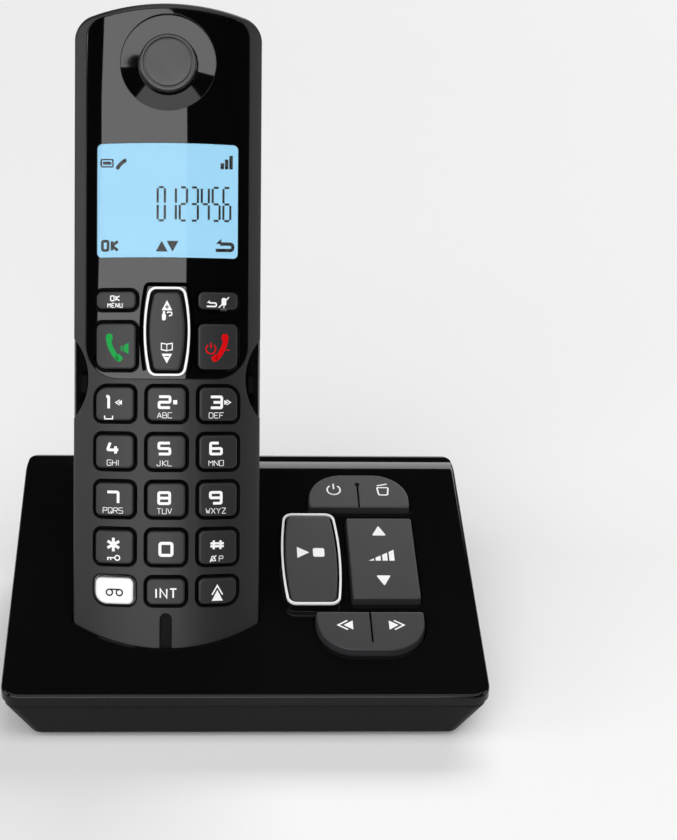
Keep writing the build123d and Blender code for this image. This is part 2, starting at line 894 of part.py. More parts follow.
# Glossy front panel with its sound dish, window and key holes
with BuildPart() as dish_boss:
    with BuildSketch(face.offset(-dish_boss_depth)):
        with Locations((0, earpiece_y)):
            Circle(dish_radius + dish_boss_margin)
    extrude(amount=dish_boss_depth + proud)
    add(handset_form(panel_thickness - panel_overlap), mode=Mode.INTERSECT)
    add(face_prism(boss_limit, 0, 0, parting_depth), mode=Mode.INTERSECT)
dish_plane = Plane(
    origin=face.from_local_coords((0, earpiece_y, 0)), x_dir=(1, 0, 0), z_dir=up_handset
)
with BuildPart() as front_panel:
    add(face_prism(panel_plug, 0, 0, parting_depth))
    add(handset_outer, mode=Mode.INTERSECT)
    add(under_panel, mode=Mode.SUBTRACT)
    add(dish_boss.part)
    with BuildSketch(dish_plane):
        with BuildLine():
            Polyline(
                (0, dish_depth),
                (earpiece_cap_radius, dish_depth),
                (dish_radius, dish_rim_depth),
                (dish_radius, -proud),
                (0, -proud),
                close=True,
            )
        make_face()
    revolve(axis=Axis(dish_plane.origin, off_face), mode=Mode.SUBTRACT)
    with BuildSketch(face.offset(-parting_depth)):
        with Locations((0, earpiece_y)):
            Circle(earpiece_cap_radius)
        with Locations((0, window_y)):
            add(window_outline)
        with Locations((0, nav_y)):
            add(nav_hole)
    extrude(amount=parting_depth + proud, mode=Mode.SUBTRACT)
    for place in function_keys.values():
        add(key_hole(place), mode=Mode.SUBTRACT)
save(front_panel, "front_panel")

# Clear display lens, crowned in front and flat behind, over the display module
lens_outline = rounded(
    window_width - 2 * window_gap, window_height - 2 * window_gap, [window_corner - window_gap] * 4
)
with BuildPart() as display_window:
    add(face_prism(lens_outline, 0, window_y, window_back_depth))
    add(crown_prism(0), mode=Mode.INTERSECT)
save(display_window, "display_window")

with BuildPart() as lcd_module:
    with BuildSketch(face.offset(-lcd_front - lcd_thickness)):
        with Locations((0, window_y)):
            Rectangle(window_width + 2 * lcd_margin, window_height + 2 * lcd_margin)
    extrude(amount=lcd_thickness)
save(lcd_module, "lcd_module")

# Earpiece: a ring and disc over the receiver capsule, with a sound groove between them
speaker_front = board_front - earpiece_speaker_height
with BuildPart() as earpiece_cap:
    with BuildSketch(face.offset(-(speaker_front - earpiece_seat_gap))):
        with Locations((0, earpiece_y)):
            Circle(earpiece_cap_radius - earpiece_cap_gap)
    extrude(amount=speaker_front - earpiece_seat_gap - earpiece_cap_depth)
    cap_top = earpiece_cap.faces().sort_by(Axis(toe, off_face))[-1]
    fillet(cap_top.edges(), earpiece_edge)
    with BuildSketch(face.offset(-earpiece_cap_depth - earpiece_groove_depth)):
        with Locations((0, earpiece_y)):
            Circle(earpiece_disc_radius + earpiece_groove)
            Circle(earpiece_disc_radius, mode=Mode.SUBTRACT)
    extrude(amount=proud, mode=Mode.SUBTRACT)
save(earpiece_cap, "earpiece_cap")

with BuildPart() as earpiece_speaker:
    with BuildSketch(face.offset(-board_front)):
        with Locations((0, earpiece_y)):
            Circle(earpiece_speaker_radius)
    extrude(amount=earpiece_speaker_height)
    speaker_rim = earpiece_speaker.faces().sort_by(Axis(toe, off_face))[-1]
    chamfer(speaker_rim.edges(), earpiece_edge)
save(earpiece_speaker, "earpiece_speaker")

# Rocker: a pale barrel ring in the panel and the key that tips inside it
nav_inner = (
    nav_ring_width - 2 * nav_ring_wall,
    nav_ring_length - 2 * nav_ring_wall,
    nav_ring_end - 2 * nav_ring_wall,
    nav_ring_round - nav_ring_wall,
)
nav_key_outline = barrel(
    nav_inner[0] - 2 * nav_gap,
    nav_inner[1] - 2 * nav_gap,
    nav_inner[2] - 2 * nav_gap,
    nav_inner[3] - nav_gap / 2,
)
nav_ring_outline = barrel(
    nav_ring_width - 2 * piece_fit,
    nav_ring_length - 2 * piece_fit,
    nav_ring_end - 2 * piece_fit,
    nav_ring_round - piece_fit,
)
with BuildPart() as nav_ring:
    add(face_prism(nav_ring_outline, 0, nav_y, panel_thickness - panel_gap))
    add(crown_prism(nav_ring_rise), mode=Mode.INTERSECT)
    add(face_prism(barrel(*nav_inner), 0, nav_y, handset_thickness), mode=Mode.SUBTRACT)
save(nav_ring, "nav_ring")

with BuildPart() as nav_key:
    add(face_prism(nav_key_outline, 0, nav_y, key_foot))
    add(crown_prism(nav_rise), mode=Mode.INTERSECT)
    nav_top = nav_key.faces().sort_by(Axis(toe, off_face))[-1]
    fillet(nav_top.edges(), key_edge)
save(nav_key, "nav_key")

# Keys of the handset; the middle key has a raised pip to find it by touch
for name, place in keypad.items():
    save(handset_key(place, key_rise, with_pip=name == "key_5"), name)
for name, place in function_keys.items():
    save(handset_key(place, function_rise, call_flanges.get(name)), name)

# Handset board, key mat and microphone
board_high = handset_length - board_top_margin
with BuildPart() as handset_board:
    with BuildSketch(face.offset(-board_back)):
        with Locations((0, (board_low + board_high) / 2)):
            RectangleRounded(board_width, board_high - board_low, board_corner)
        with Locations(*boss_sites):
            Circle(screw_shank_radius + screw_clearance, mode=Mode.SUBTRACT)
    extrude(amount=board_thickness)
save(handset_board, "handset_board")

with BuildPart() as key_mat:
    with BuildSketch(face.offset(-board_front)):
        with Locations((0, (key_mat_low + key_mat_high) / 2)):
            RectangleRounded(key_mat_width, key_mat_high - key_mat_low, board_corner)
    extrude(amount=mat_thickness)
save(key_mat, "key_mat")

boot_outline = rounded(
    mic_slot_width - 2 * piece_fit,
    2 * (mic_slot_top - piece_fit),
    [0, 0, mic_slot_width / 2 - piece_fit, mic_slot_width / 2 - piece_fit],
)
mic_front = board_front - mic_height
with BuildPart() as microphone_boot:
    add(face_prism(boot_outline, 0, 0, mic_front - mic_boot_gap))
    add(crown_prism(-mic_boot_sink), mode=Mode.INTERSECT)
    add(handset_outer, mode=Mode.INTERSECT)
save(microphone_boot, "microphone_boot")

with BuildPart() as microphone:
    with BuildSketch(face.offset(-board_front)):
        with Locations((0, mic_y)):
            Circle(mic_radius)
    extrude(amount=mic_height)
save(microphone, "microphone")

# Battery: two cells between spring plates, under a snap-on door
cell_sites = [(-cell_pitch / 2, pocket_floor + cell_play + cell_radius)]
cell_sites.append((cell_pitch / 2, pocket_floor + cell_play + cell_radius))
cell_start = pocket_low + cell_end_space
with BuildPart() as battery_cells:
    with BuildSketch(section.offset(cell_start)):
        with Locations(*cell_sites):
            Circle(cell_radius)
    extrude(amount=cell_length)
    with BuildSketch(section.offset(cell_start + cell_length)):
        with Locations(*cell_sites):
            Circle(cell_nub_radius)
    extrude(amount=cell_nub_length)
save(battery_cells, "battery_cells")

contact_heights = (pocket_low, pocket_low + pocket_length - contact_thickness)
with BuildPart() as battery_contacts:
    for height in contact_heights:
        with BuildSketch(section.offset(height)):
            with Locations(*cell_sites):
                Rectangle(contact_width, contact_width)
        extrude(amount=contact_thickness)
    with BuildSketch(section.offset(pocket_low + contact_thickness)):
        with Locations(*cell_sites):
            Circle(cell_nub_radius)
    extrude(amount=cell_end_space - contact_thickness)
    with BuildSketch(section.offset(contact_heights[1])):
        with Locations(*cell_sites):
            Circle(cell_nub_radius)
    extrude(amount=contact_thickness - cell_end_space)
save(battery_contacts, "battery_contacts")

with BuildPart() as battery_door:
    with BuildSketch(face.offset(-board_back)):
        with Locations((0, door_y)):
            add(door_outline)
    extrude(amount=-handset_thickness)
    add(handset_outer, mode=Mode.INTERSECT)
    add(handset_form(door_thickness), mode=Mode.SUBTRACT)
    with BuildSketch(face.offset(-handset_thickness + door_grip_depth)):
        for rib in range(door_grip_count):
            with Locations((0, door_high - door_grip_margin - rib * door_grip_pitch)):
                SlotOverall(door_grip_width, door_grip_thickness)
    extrude(amount=-proud, mode=Mode.SUBTRACT)
save(battery_door, "battery_door")

# Ringer behind its grille, and the charging contacts at the handset's foot
with BuildPart() as ringer_speaker:
    with BuildSketch(face.offset(-ringer_front)):
        with Locations((0, ringer_y)):
            Circle(ringer_radius)
    extrude(amount=-ringer_height)
save(ringer_speaker, "ringer_speaker")

with BuildPart() as handset_contacts:
    with BuildSketch(section):
        with Locations(*charge_sites):
            Rectangle(charge_contact_width, charge_contact_length)
    extrude(amount=charge_contact_height)
save(handset_contacts, "handset_contacts")

with BuildPart() as handset_screws:
    with BuildSketch(face.offset(-screw_seat_depth)):
        with Locations(*boss_sites):
            Circle(screw_head_radius)
    extrude(amount=-screw_head_height)
    with BuildSketch(face.offset(-screw_seat_depth)):
        with Locations(*boss_sites):
            Circle(screw_shank_radius)
    extrude(amount=screw_seat_depth - screw_tip_depth)
save(handset_screws, "handset_screws")

# Base cover: glossy wedge with a rolled back edge, the moulded well and the key openings
pair_base = base_key_height * tan(radians(base_key_draft))
collar_base = play_collar_height * tan(radians(play_collar_draft))
ring_hole = (
    play_ring_width - 2 * play_ring_wall,
    play_ring_length - 2 * play_ring_wall,
    play_ring_end - 2 * play_ring_wall,
    play_ring_round - play_ring_wall,
)
top_pair_corners = [volume_round, volume_round, pair_round, pair_round]
low_pair_corners = [pair_round, pair_round, volume_round, volume_round]
base_keys = {
    "key_power_delete": (pair_x, top_pair_y, pair_width, pair_depth, top_pair_corners),
    "key_skip": (pair_x, low_pair_y, pair_width, pair_depth, low_pair_corners),
    "key_volume": (volume_x, volume_y, volume_width, volume_length, [volume_round] * 4),
}


def grown(place, more):
    """Outline of a base key, larger by more on each side."""
    width, height, corners = place[2:]
    return rounded(width + 2 * more, height + 2 * more, [r + more for r in corners])


with BuildPart() as well_block:
    add(well_form(well_clearance + well_wall))
    split(bisect_by=top.offset(-cover_edge), keep=Keep.BOTTOM)
boss_places = [
    (across * boss_spread / 2, front_y + back)
    for across in (-1, 1)
    for back in (boss_front, boss_back)
]
with BuildPart() as cover_hollow:
    add(cover_form(cover_wall))
    add(well_block.part, mode=Mode.SUBTRACT)
    with BuildSketch(table.offset(boss_split)):
        with Locations(*boss_places):
            Circle(boss_radius)
    extrude(amount=beyond, mode=Mode.SUBTRACT)
with BuildPart() as cover_skin:
    add(cover_form(0))
    split(bisect_by=cover_split, keep=Keep.TOP)
with BuildPart() as below_cover:
    add(well_block.part)
    with BuildSketch(table.offset(boss_split)):
        with Locations(*boss_places):
            Circle(boss_radius)
    extrude(amount=beyond)
    split(bisect_by=cover_split.offset(hair), keep=Keep.BOTTOM)
with BuildPart() as base_top_cover:
    add(cover_skin.part)
    add(cover_hollow.part, mode=Mode.SUBTRACT)
    add(below_cover.part)
    with BuildSketch(top.offset(-hair)):
        with Locations((play_x, play_y)):
            add(
                barrel(
                    play_ring_width + 2 * collar_base,
                    play_ring_length + 2 * collar_base,
                    play_ring_end + 2 * collar_base,
                    play_ring_round + collar_base,
                )
            )
    extrude(amount=play_collar_height + hair, taper=play_collar_draft)
    add(well_form(well_clearance), mode=Mode.SUBTRACT)
    for place in base_keys.values():
        hole = grown(place, pair_base + base_key_gap)
        add(slope_prism(hole, place[0], place[1], 2 * cover_wall, proud), mode=Mode.SUBTRACT)
    add(slope_prism(barrel(*ring_hole), play_x, play_y, 2 * cover_wall, proud), mode=Mode.SUBTRACT)
    with BuildSketch(section.offset(-well_clearance - 2 * well_wall)):
        with Locations(*charge_sites):
            Circle(charge_pin_radius + charge_pin_play)
    extrude(amount=3 * well_wall, mode=Mode.SUBTRACT)
    with BuildSketch(table.offset(boss_split)):
        with Locations(*boss_places):
            Circle(screw_shank_radius)
    extrude(amount=screw_bite, mode=Mode.SUBTRACT)
save(base_top_cover, "base_top_cover")

# Base housing: matte drafted tub with screw bosses, board posts, speaker grille and socket holes
board_corners = [
    (x, y)
    for x in (base_board_left + base_post_inset, base_board_right - base_post_inset)
    for y in (base_board_low + base_post_inset, base_board_high - base_post_inset)
]
post_places = []
for corner in board_corners:
    spot = top.from_local_coords((*corner, -base_board_back))
    post_places.append((spot.X, spot.Y))
housing_back = back_y - housing_step
socket_plane = Plane(origin=(0, housing_back, socket_z), x_dir=(-1, 0, 0), z_dir=(0, 1, 0))
speaker_place = (base_speaker_x, front_y + base_speaker_y)
with BuildPart() as board_posts:
    with BuildSketch(table.offset(housing_floor - hair)):
        with Locations(*post_places):
            Circle(base_post_radius)
    extrude(amount=beyond)
    split(bisect_by=top.offset(-base_board_back), keep=Keep.BOTTOM)
with BuildPart() as base_housing:
    add(housing_form(0))
    split(bisect_by=cover_split, keep=Keep.BOTTOM)
    add(housing_form(housing_wall), mode=Mode.SUBTRACT)
    with BuildSketch(table.offset(housing_floor - hair)):
        with Locations(*boss_places):
            Circle(boss_radius)
    extrude(amount=boss_split - housing_floor + hair)
    add(board_posts.part)
    with BuildSketch(table.offset(foot_height)):
        with Locations(*boss_places):
            Circle(screw_head_radius + screw_clearance)
    extrude(amount=screw_head_height + screw_clearance, mode=Mode.SUBTRACT)
    with BuildSketch(table.offset(foot_height)):
        with Locations(*boss_places):
            Circle(screw_shank_radius + screw_clearance)
    extrude(amount=boss_split, mode=Mode.SUBTRACT)
    with BuildSketch(socket_plane):
        with Locations((-line_socket_x, 0), (-power_socket_x, 0)):
            Rectangle(socket_width + 2 * socket_fit, socket_height + 2 * socket_fit)
    extrude(amount=-2 * housing_wall, mode=Mode.SUBTRACT)
    with BuildSketch(table.offset(foot_height)):
        for slot in range(grille_slots):
            from_middle = (slot - (grille_slots - 1) / 2) * grille_slot_pitch
            chord = 2 * sqrt((base_speaker_radius - base_speaker_rim) ** 2 - from_middle**2)
            with Locations((speaker_place[0], speaker_place[1] + from_middle)):
                SlotOverall(chord, grille_slot_width)
    extrude(amount=housing_wall, mode=Mode.SUBTRACT)
save(base_housing, "base_housing")

# Base keys: drafted caps on straight stems, kept in by tabs under the cover
slits = {
    "key_power_delete": (top_pair_y - pair_depth / 2 + top_slit_length / 2, top_slit_length),
    "key_skip": (low_pair_y + pair_depth / 2 - low_slit_length / 2, low_slit_length),
}
tab_depth = cover_wall + base_key_travel + base_key_gap
for name, place in base_keys.items():
    x, y, width, height = place[:4]
    foot_outline = grown(place, pair_base)
    with BuildPart() as base_key:
        with BuildSketch(top):
            with Locations((x, y)):
                add(foot_outline)
        extrude(amount=base_key_height, taper=base_key_draft)
        cap_face = base_key.faces().sort_by(Axis(front_edge, off_slope))[-1]
        fillet(cap_face.edges(), base_key_round)
        with BuildSketch(top.offset(-base_key_stem)):
            with Locations((x, y)):
                add(foot_outline)
        extrude(amount=base_key_stem)
        with BuildSketch(top.offset(-tab_depth)):
            with Locations((x, y)):
                Rectangle(base_key_tab_width, height + 2 * (pair_base + base_key_gap + base_key_tab))
        extrude(amount=-base_key_tab_thickness)
        if name in slits:
            slit_y, slit_length = slits[name]
            with BuildSketch(top.offset(base_key_height - slit_depth)):
                with Locations((x, slit_y)):
                    Rectangle(slit_width, slit_length)
                if name == "key_power_delete":
                    with Locations((x, slit_y + slit_length / 2)):
                        Circle(slit_hole_radius)
            extrude(amount=slit_depth + proud, mode=Mode.SUBTRACT)
    save(base_key, name)

# Play key inside its pale ring, which sits on the cover's raised collar
play_outline = barrel(
    ring_hole[0] - 2 * base_key_gap,
    ring_hole[1] - 2 * base_key_gap,
    ring_hole[2] - 2 * base_key_gap,
    ring_hole[3] - base_key_gap,
)
play_ring_top = play_collar_height + play_ring_height
with BuildPart() as key_play:
    add(slope_prism(play_outline, play_x, play_y, base_key_stem, play_ring_top - play_key_sink))
    play_face = key_play.faces().sort_by(Axis(front_edge, off_slope))[-1]
    fillet(play_face.edges(), base_key_round)
    with BuildSketch(top.offset(-tab_depth)):
        with Locations((play_x, play_y)):
            Rectangle(base_key_tab_width, ring_hole[1] + 2 * base_key_tab)
    extrude(amount=-base_key_tab_thickness)
save(key_play, "key_play")

with BuildPart() as play_ring:
    with BuildSketch(top.offset(play_collar_height)):
        with Locations((play_x, play_y)):
            add(barrel(play_ring_width, play_ring_length, play_ring_end, play_ring_round))
            add(barrel(*ring_hole), mode=Mode.SUBTRACT)
    extrude(amount=play_ring_height)
save(play_ring, "play_ring")

# Base board and its key mat, parallel to the sloping top
board_middle = ((base_board_left + base_board_right) / 2, (base_board_low + base_board_high) / 2)
board_size = (base_board_right - base_board_left, base_board_high - base_board_low)
with BuildPart() as base_board:
    with BuildSketch(top.offset(-base_board_back)):
        with Locations(board_middle):
            RectangleRounded(*board_size, board_corner)
    extrude(amount=board_thickness)
save(base_board, "base_board")

with BuildPart() as base_key_mat:
    with BuildSketch(top.offset(-base_board_front)):
        with Locations(board_middle):
            RectangleRounded(*board_size, board_corner)
    extrude(amount=mat_thickness)
save(base_key_mat, "base_key_mat")

# Speaker on the floor of the housing, facing down through the grille
with BuildPart() as base_speaker:
    with BuildSketch(Plane.XZ.offset(-speaker_place[1])):
        with BuildLine():
            Polyline(
                (base_speaker_x, housing_floor),
                (base_speaker_x + base_speaker_radius, housing_floor),
                (base_speaker_x + base_speaker_radius, housing_floor + base_speaker_rim),
                (base_speaker_x + base_speaker_magnet_radius, housing_floor + base_speaker_height / 2),
                (base_speaker_x + base_speaker_magnet_radius, housing_floor + base_speaker_height),
                (base_speaker_x, housing_floor + base_speaker_height),
                close=True,
            )
        make_face()
    revolve(axis=Axis((*speaker_place, 0), (0, 0, 1)))
save(base_speaker, "base_speaker")

# Line and power sockets: modular jacks with a latch notch under the mouth
for name, socket_x in (("line_socket", line_socket_x), ("power_socket", power_socket_x)):
    with BuildPart() as socket:
        with BuildSketch(socket_plane):
            with Locations((-socket_x, 0)):
                Rectangle(socket_width, socket_height)
        extrude(amount=-socket_depth)
        with BuildSketch(socket_plane):
            with Locations((-socket_x, 0)):
                Rectangle(socket_mouth_width, socket_mouth_height)
            with Locations((-socket_x, -socket_mouth_height / 2)):
                Rectangle(socket_latch_width, 2 * socket_latch_height)
        extrude(amount=-socket_mouth_depth, mode=Mode.SUBTRACT)
    save(socket, name)

# Sprung charging pins in the floor of the well
pin_top = -charge_pin_gap
pin_flange_top = -well_clearance - well_wall - charge_pin_play
for name, site in zip(("charge_pin_left", "charge_pin_right"), charge_sites):
    with BuildPart() as charge_pin:
        with BuildSketch(section.offset(pin_flange_top - charge_pin_flange)):
            with Locations(site):
                Circle(charge_pin_flange_radius)
        extrude(amount=charge_pin_flange)
        with BuildSketch(section.offset(pin_flange_top - charge_pin_flange - charge_pin_tail)):
            with Locations(site):
                Circle(charge_pin_radius)
        extrude(amount=pin_top - pin_flange_top + charge_pin_flange + charge_pin_tail)
        pin_tip = charge_pin.faces().sort_by(Axis(toe, up_handset))[-1]
        fillet(pin_tip.edges(), charge_pin_radius / 2)
    save(charge_pin, name)

# Feet and screws under the base
foot_places = [
    (across * foot_spread / 2, front_y + back)
    for across in (-1, 1)
    for back in (foot_front, foot_back)
]
with BuildPart() as base_feet:
    with BuildSketch(table):
        with Locations(*foot_places):
            Circle(foot_radius)
    extrude(amount=foot_height)
save(base_feet, "base_feet")

screw_seat = foot_height + screw_head_height + screw_clearance
with BuildPart() as base_screws:
    with BuildSketch(table.offset(screw_seat)):
        with Locations(*boss_places):
            Circle(screw_head_radius)
    extrude(amount=-screw_head_height)
    with BuildSketch(table.offset(screw_seat)):
        with Locations(*boss_places):
            Circle(screw_shank_radius)
    extrude(amount=boss_split + screw_bite - screw_seat)
save(base_screws, "base_screws")
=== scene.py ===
import json
from math import cos, pi, radians, sin

import bmesh
import bpy
from bpy.props import FloatProperty, FloatVectorProperty, PointerProperty
from mathutils import Euler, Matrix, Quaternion, Vector
from mathutils.geometry import tessellate_polygon


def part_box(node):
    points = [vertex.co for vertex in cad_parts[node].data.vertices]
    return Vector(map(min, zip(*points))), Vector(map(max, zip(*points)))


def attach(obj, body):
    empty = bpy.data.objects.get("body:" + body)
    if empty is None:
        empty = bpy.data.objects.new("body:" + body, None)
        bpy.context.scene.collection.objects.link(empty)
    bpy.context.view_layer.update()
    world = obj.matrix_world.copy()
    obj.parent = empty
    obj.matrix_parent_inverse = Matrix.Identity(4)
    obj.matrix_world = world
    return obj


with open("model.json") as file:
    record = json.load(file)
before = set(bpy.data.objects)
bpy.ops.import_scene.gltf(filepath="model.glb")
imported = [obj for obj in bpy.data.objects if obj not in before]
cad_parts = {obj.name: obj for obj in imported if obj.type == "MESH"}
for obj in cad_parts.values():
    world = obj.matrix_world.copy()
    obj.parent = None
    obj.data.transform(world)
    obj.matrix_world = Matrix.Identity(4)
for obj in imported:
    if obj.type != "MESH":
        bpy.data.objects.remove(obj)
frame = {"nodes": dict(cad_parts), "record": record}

bl_info = {
    "name": "Cordless phone with base",
    "version": (1, 0, 0),
    "blender": (4, 5, 0),
    "location": "3D View > Sidebar > Phone",
    "description": "Dresses a cordless handset and its answering machine base",
    "category": "Object",
}

MM = 0.001
ACROSS = Vector((1, 0, 0))
STUDIO_SPAN = 6.4
STUDIO_HEIGHT = 3.4


def linear(code):
    """An sRGB hex colour as linear red, green and blue."""
    values = [int(code[at : at + 2], 16) / 255 for at in (1, 3, 5)]
    return tuple(v / 12.92 if v <= 0.04045 else ((v + 0.055) / 1.055) ** 2.4 for v in values)


def colour(name, words, code):
    """A colour property with its default given as sRGB hex."""
    return FloatVectorProperty(
        name=name, description=words, subtype="COLOR", size=3, min=0, max=1, default=linear(code)
    )


def length(name, words, millimetres):
    """A length property with its default given in millimetres."""
    return FloatProperty(name=name, description=words, unit="LENGTH", default=millimetres * MM)


def angle(name, words, turn):
    """An angle property with its default given in degrees."""
    return FloatProperty(name=name, description=words, subtype="ANGLE", default=radians(turn))


class PhoneColours(bpy.types.PropertyGroup):
    """Colours of the plastics, inks and metals."""

    case: colour("Case", "Matte front case", "#1C1C1E")
    housing: colour("Housing", "Matte lower housing of the base", "#121214")
    gloss: colour("Gloss", "Polished rear case and base cover", "#0B0B0C")
    panel: colour("Panel", "Polished front panel", "#050506")
    # Pit is also the black of the painted shade bands round the key holes and the navigation ring
    pit: colour("Pit", "Black rubber and black print", "#030303")
    key: colour("Key", "Satin handset keys", "#212123")
    base_key: colour("Base key", "Satin keys of the base", "#2D2D2F")
    white: colour("White", "White key and rings", "#EDEDEE")
    ink: colour("Ink", "White printing", "#F4F4F5")
    green: colour("Green", "Printing of the call key", "#009A40")
    red: colour("Red", "Printing of the end key", "#CE0006")
    display: colour("Display", "Lit display", "#9BD6F6")
    segment: colour("Segment", "Dark marks of the display", "#0C0F14")
    rubber: colour("Rubber", "Key mats and feet", "#3A3A3C")
    board: colour("Board", "Solder mask of the circuit boards", "#14502E")
    steel: colour("Steel", "Screws, springs and speaker frames", "#A9AAAC")
    gold: colour("Gold", "Charging contacts", "#D9AE5A")
    sleeve: colour("Sleeve", "Sleeve of the battery cells", "#1F7A46")


class PhoneSizes(bpy.types.PropertyGroup):
    """Sizes of the printing and the leans of the two bodies."""

    lean: angle("Lean", "Lean of the handset from upright", 23.7)
    slope: angle("Slope", "Slope of the base's top", 17.0)
    crown: length("Crown", "Radius of the handset's crowned face", 46.4)
    ink_height: length("Ink height", "Thickness of the printing", 0.03)
    facet: length("Facet", "Longest edge in the printing", 0.7)
    digit: length("Digit", "Height of the digits", 3.4)
    digit_stroke: length("Digit stroke", "Line width of the digits", 0.68)
    letter: length("Letter", "Height of the letters under the digits", 1.5)
    letter_stroke: length("Letter stroke", "Line width of the letters", 0.15)
    icon_stroke: length("Icon stroke", "Line width of outlined symbols", 0.42)
    flange: length("Flange", "Reach of a handset key's flange past its hole", 0.4)
    # Width and gap of black bands printed round the key holes: painted shade for the deep gaps round the
    # keys
    hole_shade_width: length("Chamfer", "Width of the black chamfers round the key holes", 0.3)
    hole_shade_gap: length("Chamfer gap", "Space between a key hole and its chamfer", 0.03)


def settings():
    """The scene's colours and sizes."""
    scene = bpy.context.scene
    return scene.phone_colours, scene.phone_sizes


# Marks are lists of closed outlines in millimetres, drawn flat and laid on a surface later


def rounded_path(points, radius, closed):
    """The path with its corners turned into arcs of about that radius."""
    if radius <= 0:
        return list(points)
    count = len(points)
    path = []
    for at, here in enumerate(points):
        if not closed and at in (0, count - 1):
            path.append(here)
            continue
        here = Vector(here)
        before = Vector(points[at - 1]) - here
        after = Vector(points[(at + 1) % count]) - here
        reach = min(radius, 0.48 * before.length, 0.48 * after.length)
        start = here + before.normalized() * reach
        end = here + after.normalized() * reach
        for step in range(6):
            t = step / 5
            path.append(tuple(start * (1 - t) ** 2 + here * 2 * t * (1 - t) + end * t**2))
    return path


def stroke(points, width, radius=0.0, closed=False):
    """A line of that width along points, as one quad for each run."""
    path = [Vector(p) for p in rounded_path(points, radius, closed)]
    count = len(path)
    sides = []
    for at, here in enumerate(path):
        first = path[at - 1] if closed or at > 0 else here
        last = path[(at + 1) % count] if closed or at < count - 1 else here
        ahead = (last - here).normalized() if last != here else (here - first).normalized()
        behind = (here - first).normalized() if first != here else ahead
        along = (ahead + behind).normalized()
        normal = Vector((-along.y, along.x))
        share = max(0.5, normal.dot(Vector((-ahead.y, ahead.x))))
        sides.append((here + normal * width / 2 / share, here - normal * width / 2 / share))
    runs = range(count if closed else count - 1)
    quads = []
    for at in runs:
        left, right = sides[at]
        next_left, next_right = sides[(at + 1) % count]
        quads.append([tuple(left), tuple(next_left), tuple(next_right), tuple(right)])
    return quads


def shape(points, radius=0.0):
    """A filled outline with rounded corners."""
    return [rounded_path(points, radius, True)]


def arc(x, y, radius, start, end, steps=20):
    """Points on an arc, angles in degrees."""
    turns = [radians(start + (end - start) * at / steps) for at in range(steps + 1)]
    return [(x + radius * cos(t), y + radius * sin(t)) for t in turns]


def disc(x, y, radius):
    """A filled circle."""
    return [arc(x, y, radius, 0, 360)[:-1]]


def round_block(width, height, radii):
    """Corners of a rectangle with four radii, from the lower left round to the upper left."""
    path = []
    for at, (side, level) in enumerate(((-1, -1), (1, -1), (1, 1), (-1, 1))):
        r = radii[at]
        path += arc(side * (width / 2 - r), level * (height / 2 - r), r, 180 + 90 * at, 270 + 90 * at, 6)
    return path


def block(x, y, width, height, radius=0.0):
    """A filled rectangle about a centre."""
    across, up = width / 2, height / 2
    corners = [(x - across, y - up), (x + across, y - up), (x + across, y + up), (x - across, y + up)]
    return shape(corners, radius)


def barrel(width, length, end, steps=8):
    """Corners of a block with bowed sides, wide in the middle and narrower at its ends."""
    rows = [2 * at / steps - 1 for at in range(steps + 1)]
    right = [(width / 2 - (width - end) / 2 * row**2, row * length / 2) for row in rows]
    return right + [(-x, -y) for x, y in right]


def moved(marks, x=0.0, y=0.0, scale=1.0, turn=0.0):
    """Marks turned by degrees, scaled and then moved."""
    c, s = cos(radians(turn)) * scale, sin(radians(turn)) * scale
    return [[(x + u * c - v * s, y + u * s + v * c) for u, v in outline] for outline in marks]


# Letters and digits as strokes on a grid: each pair is the column and row of a corner
GLYPHS = {
    "0": "00 40 46 06 00", "1": "16 26 20", "2": "06 46 43 03 00 40", "3": "06 46 40 00|13 43",
    "4": "16 02 42|34 30", "5": "46 06 03 43 40 00", "6": "36 06 00 40 43 03", "7": "06 46 40",
    "8": "03 00 40 43 46 06 03|03 43", "9": "43 03 06 46 40 10", "A": "00 26 40|12 32",
    "B": "03 00 40 43 36 06 03|03 43", "C": "46 06 00 40", "D": "00 06 36 45 41 30 00",
    "E": "46 06 00 40|03 33", "F": "46 06 00|03 33", "G": "46 06 00 40 43 23", "H": "00 06|40 46|03 43",
    "I": "20 26", "J": "36 30 00 02", "K": "00 06|46 03 40", "L": "06 00 40", "M": "00 06 23 46 40",
    "N": "00 06 40 46", "O": "00 40 46 06 00", "P": "00 06 46 43 03", "Q": "00 40 46 06 00|22 40",
    "R": "00 06 46 43 03|23 40", "S": "46 06 03 43 40 00", "T": "06 46|26 20", "U": "06 00 40 46",
    "V": "06 20 46", "W": "06 10 24 30 46", "X": "00 46|06 40", "Y": "06 23 46|23 20",
    "Z": "06 46 00 40", "?": "05 06 46 43 23 22", "#": "10 16|30 36|02 42|04 44",
}
NARROW = {"1": 0.45, "I": 0.3}


def words(text, height, width, line, gap=0.3, corner=0.14):
    """Text centred on the origin: height and width of a letter, line width and gap in millimetres."""
    rise, run = height - line, width - line
    marks = []
    pen = 0.0
    for letter in text:
        wide = run * NARROW.get(letter, 1.0)
        shift = (run - wide) / 2
        for part in GLYPHS[letter].split("|"):
            corners = [(pen - shift + int(c) / 4 * run, int(r) / 6 * rise) for c, r in part.split()]
            closed = corners[0] == corners[-1]
            if closed:
                corners = corners[:-1]
            marks += stroke(corners, line, corner * height, closed)
        pen += wide + line + gap
    return moved(marks, -(pen - gap - line) / 2, -rise / 2)


def triangle(width, height, radius=0.12, turn=0.0):
    """A filled triangle that points up before it is turned."""
    corners = [(-width / 2, -height / 2), (width / 2, -height / 2), (0, height / 2)]
    return moved(shape(corners, radius), turn=turn)


def double_arrow(size, line, turn=0.0):
    """A filled arrowhead behind an open one, pointing right before it is turned."""
    deep, step = size * 0.8, size * 0.45
    marks = moved(triangle(size, deep, 0.06, -90), x=-step / 2)
    tip = (deep + step) / 2
    marks += stroke([(tip - deep, size / 2), (tip, 0), (tip - deep, -size / 2)], line)
    return moved(marks, turn=turn)


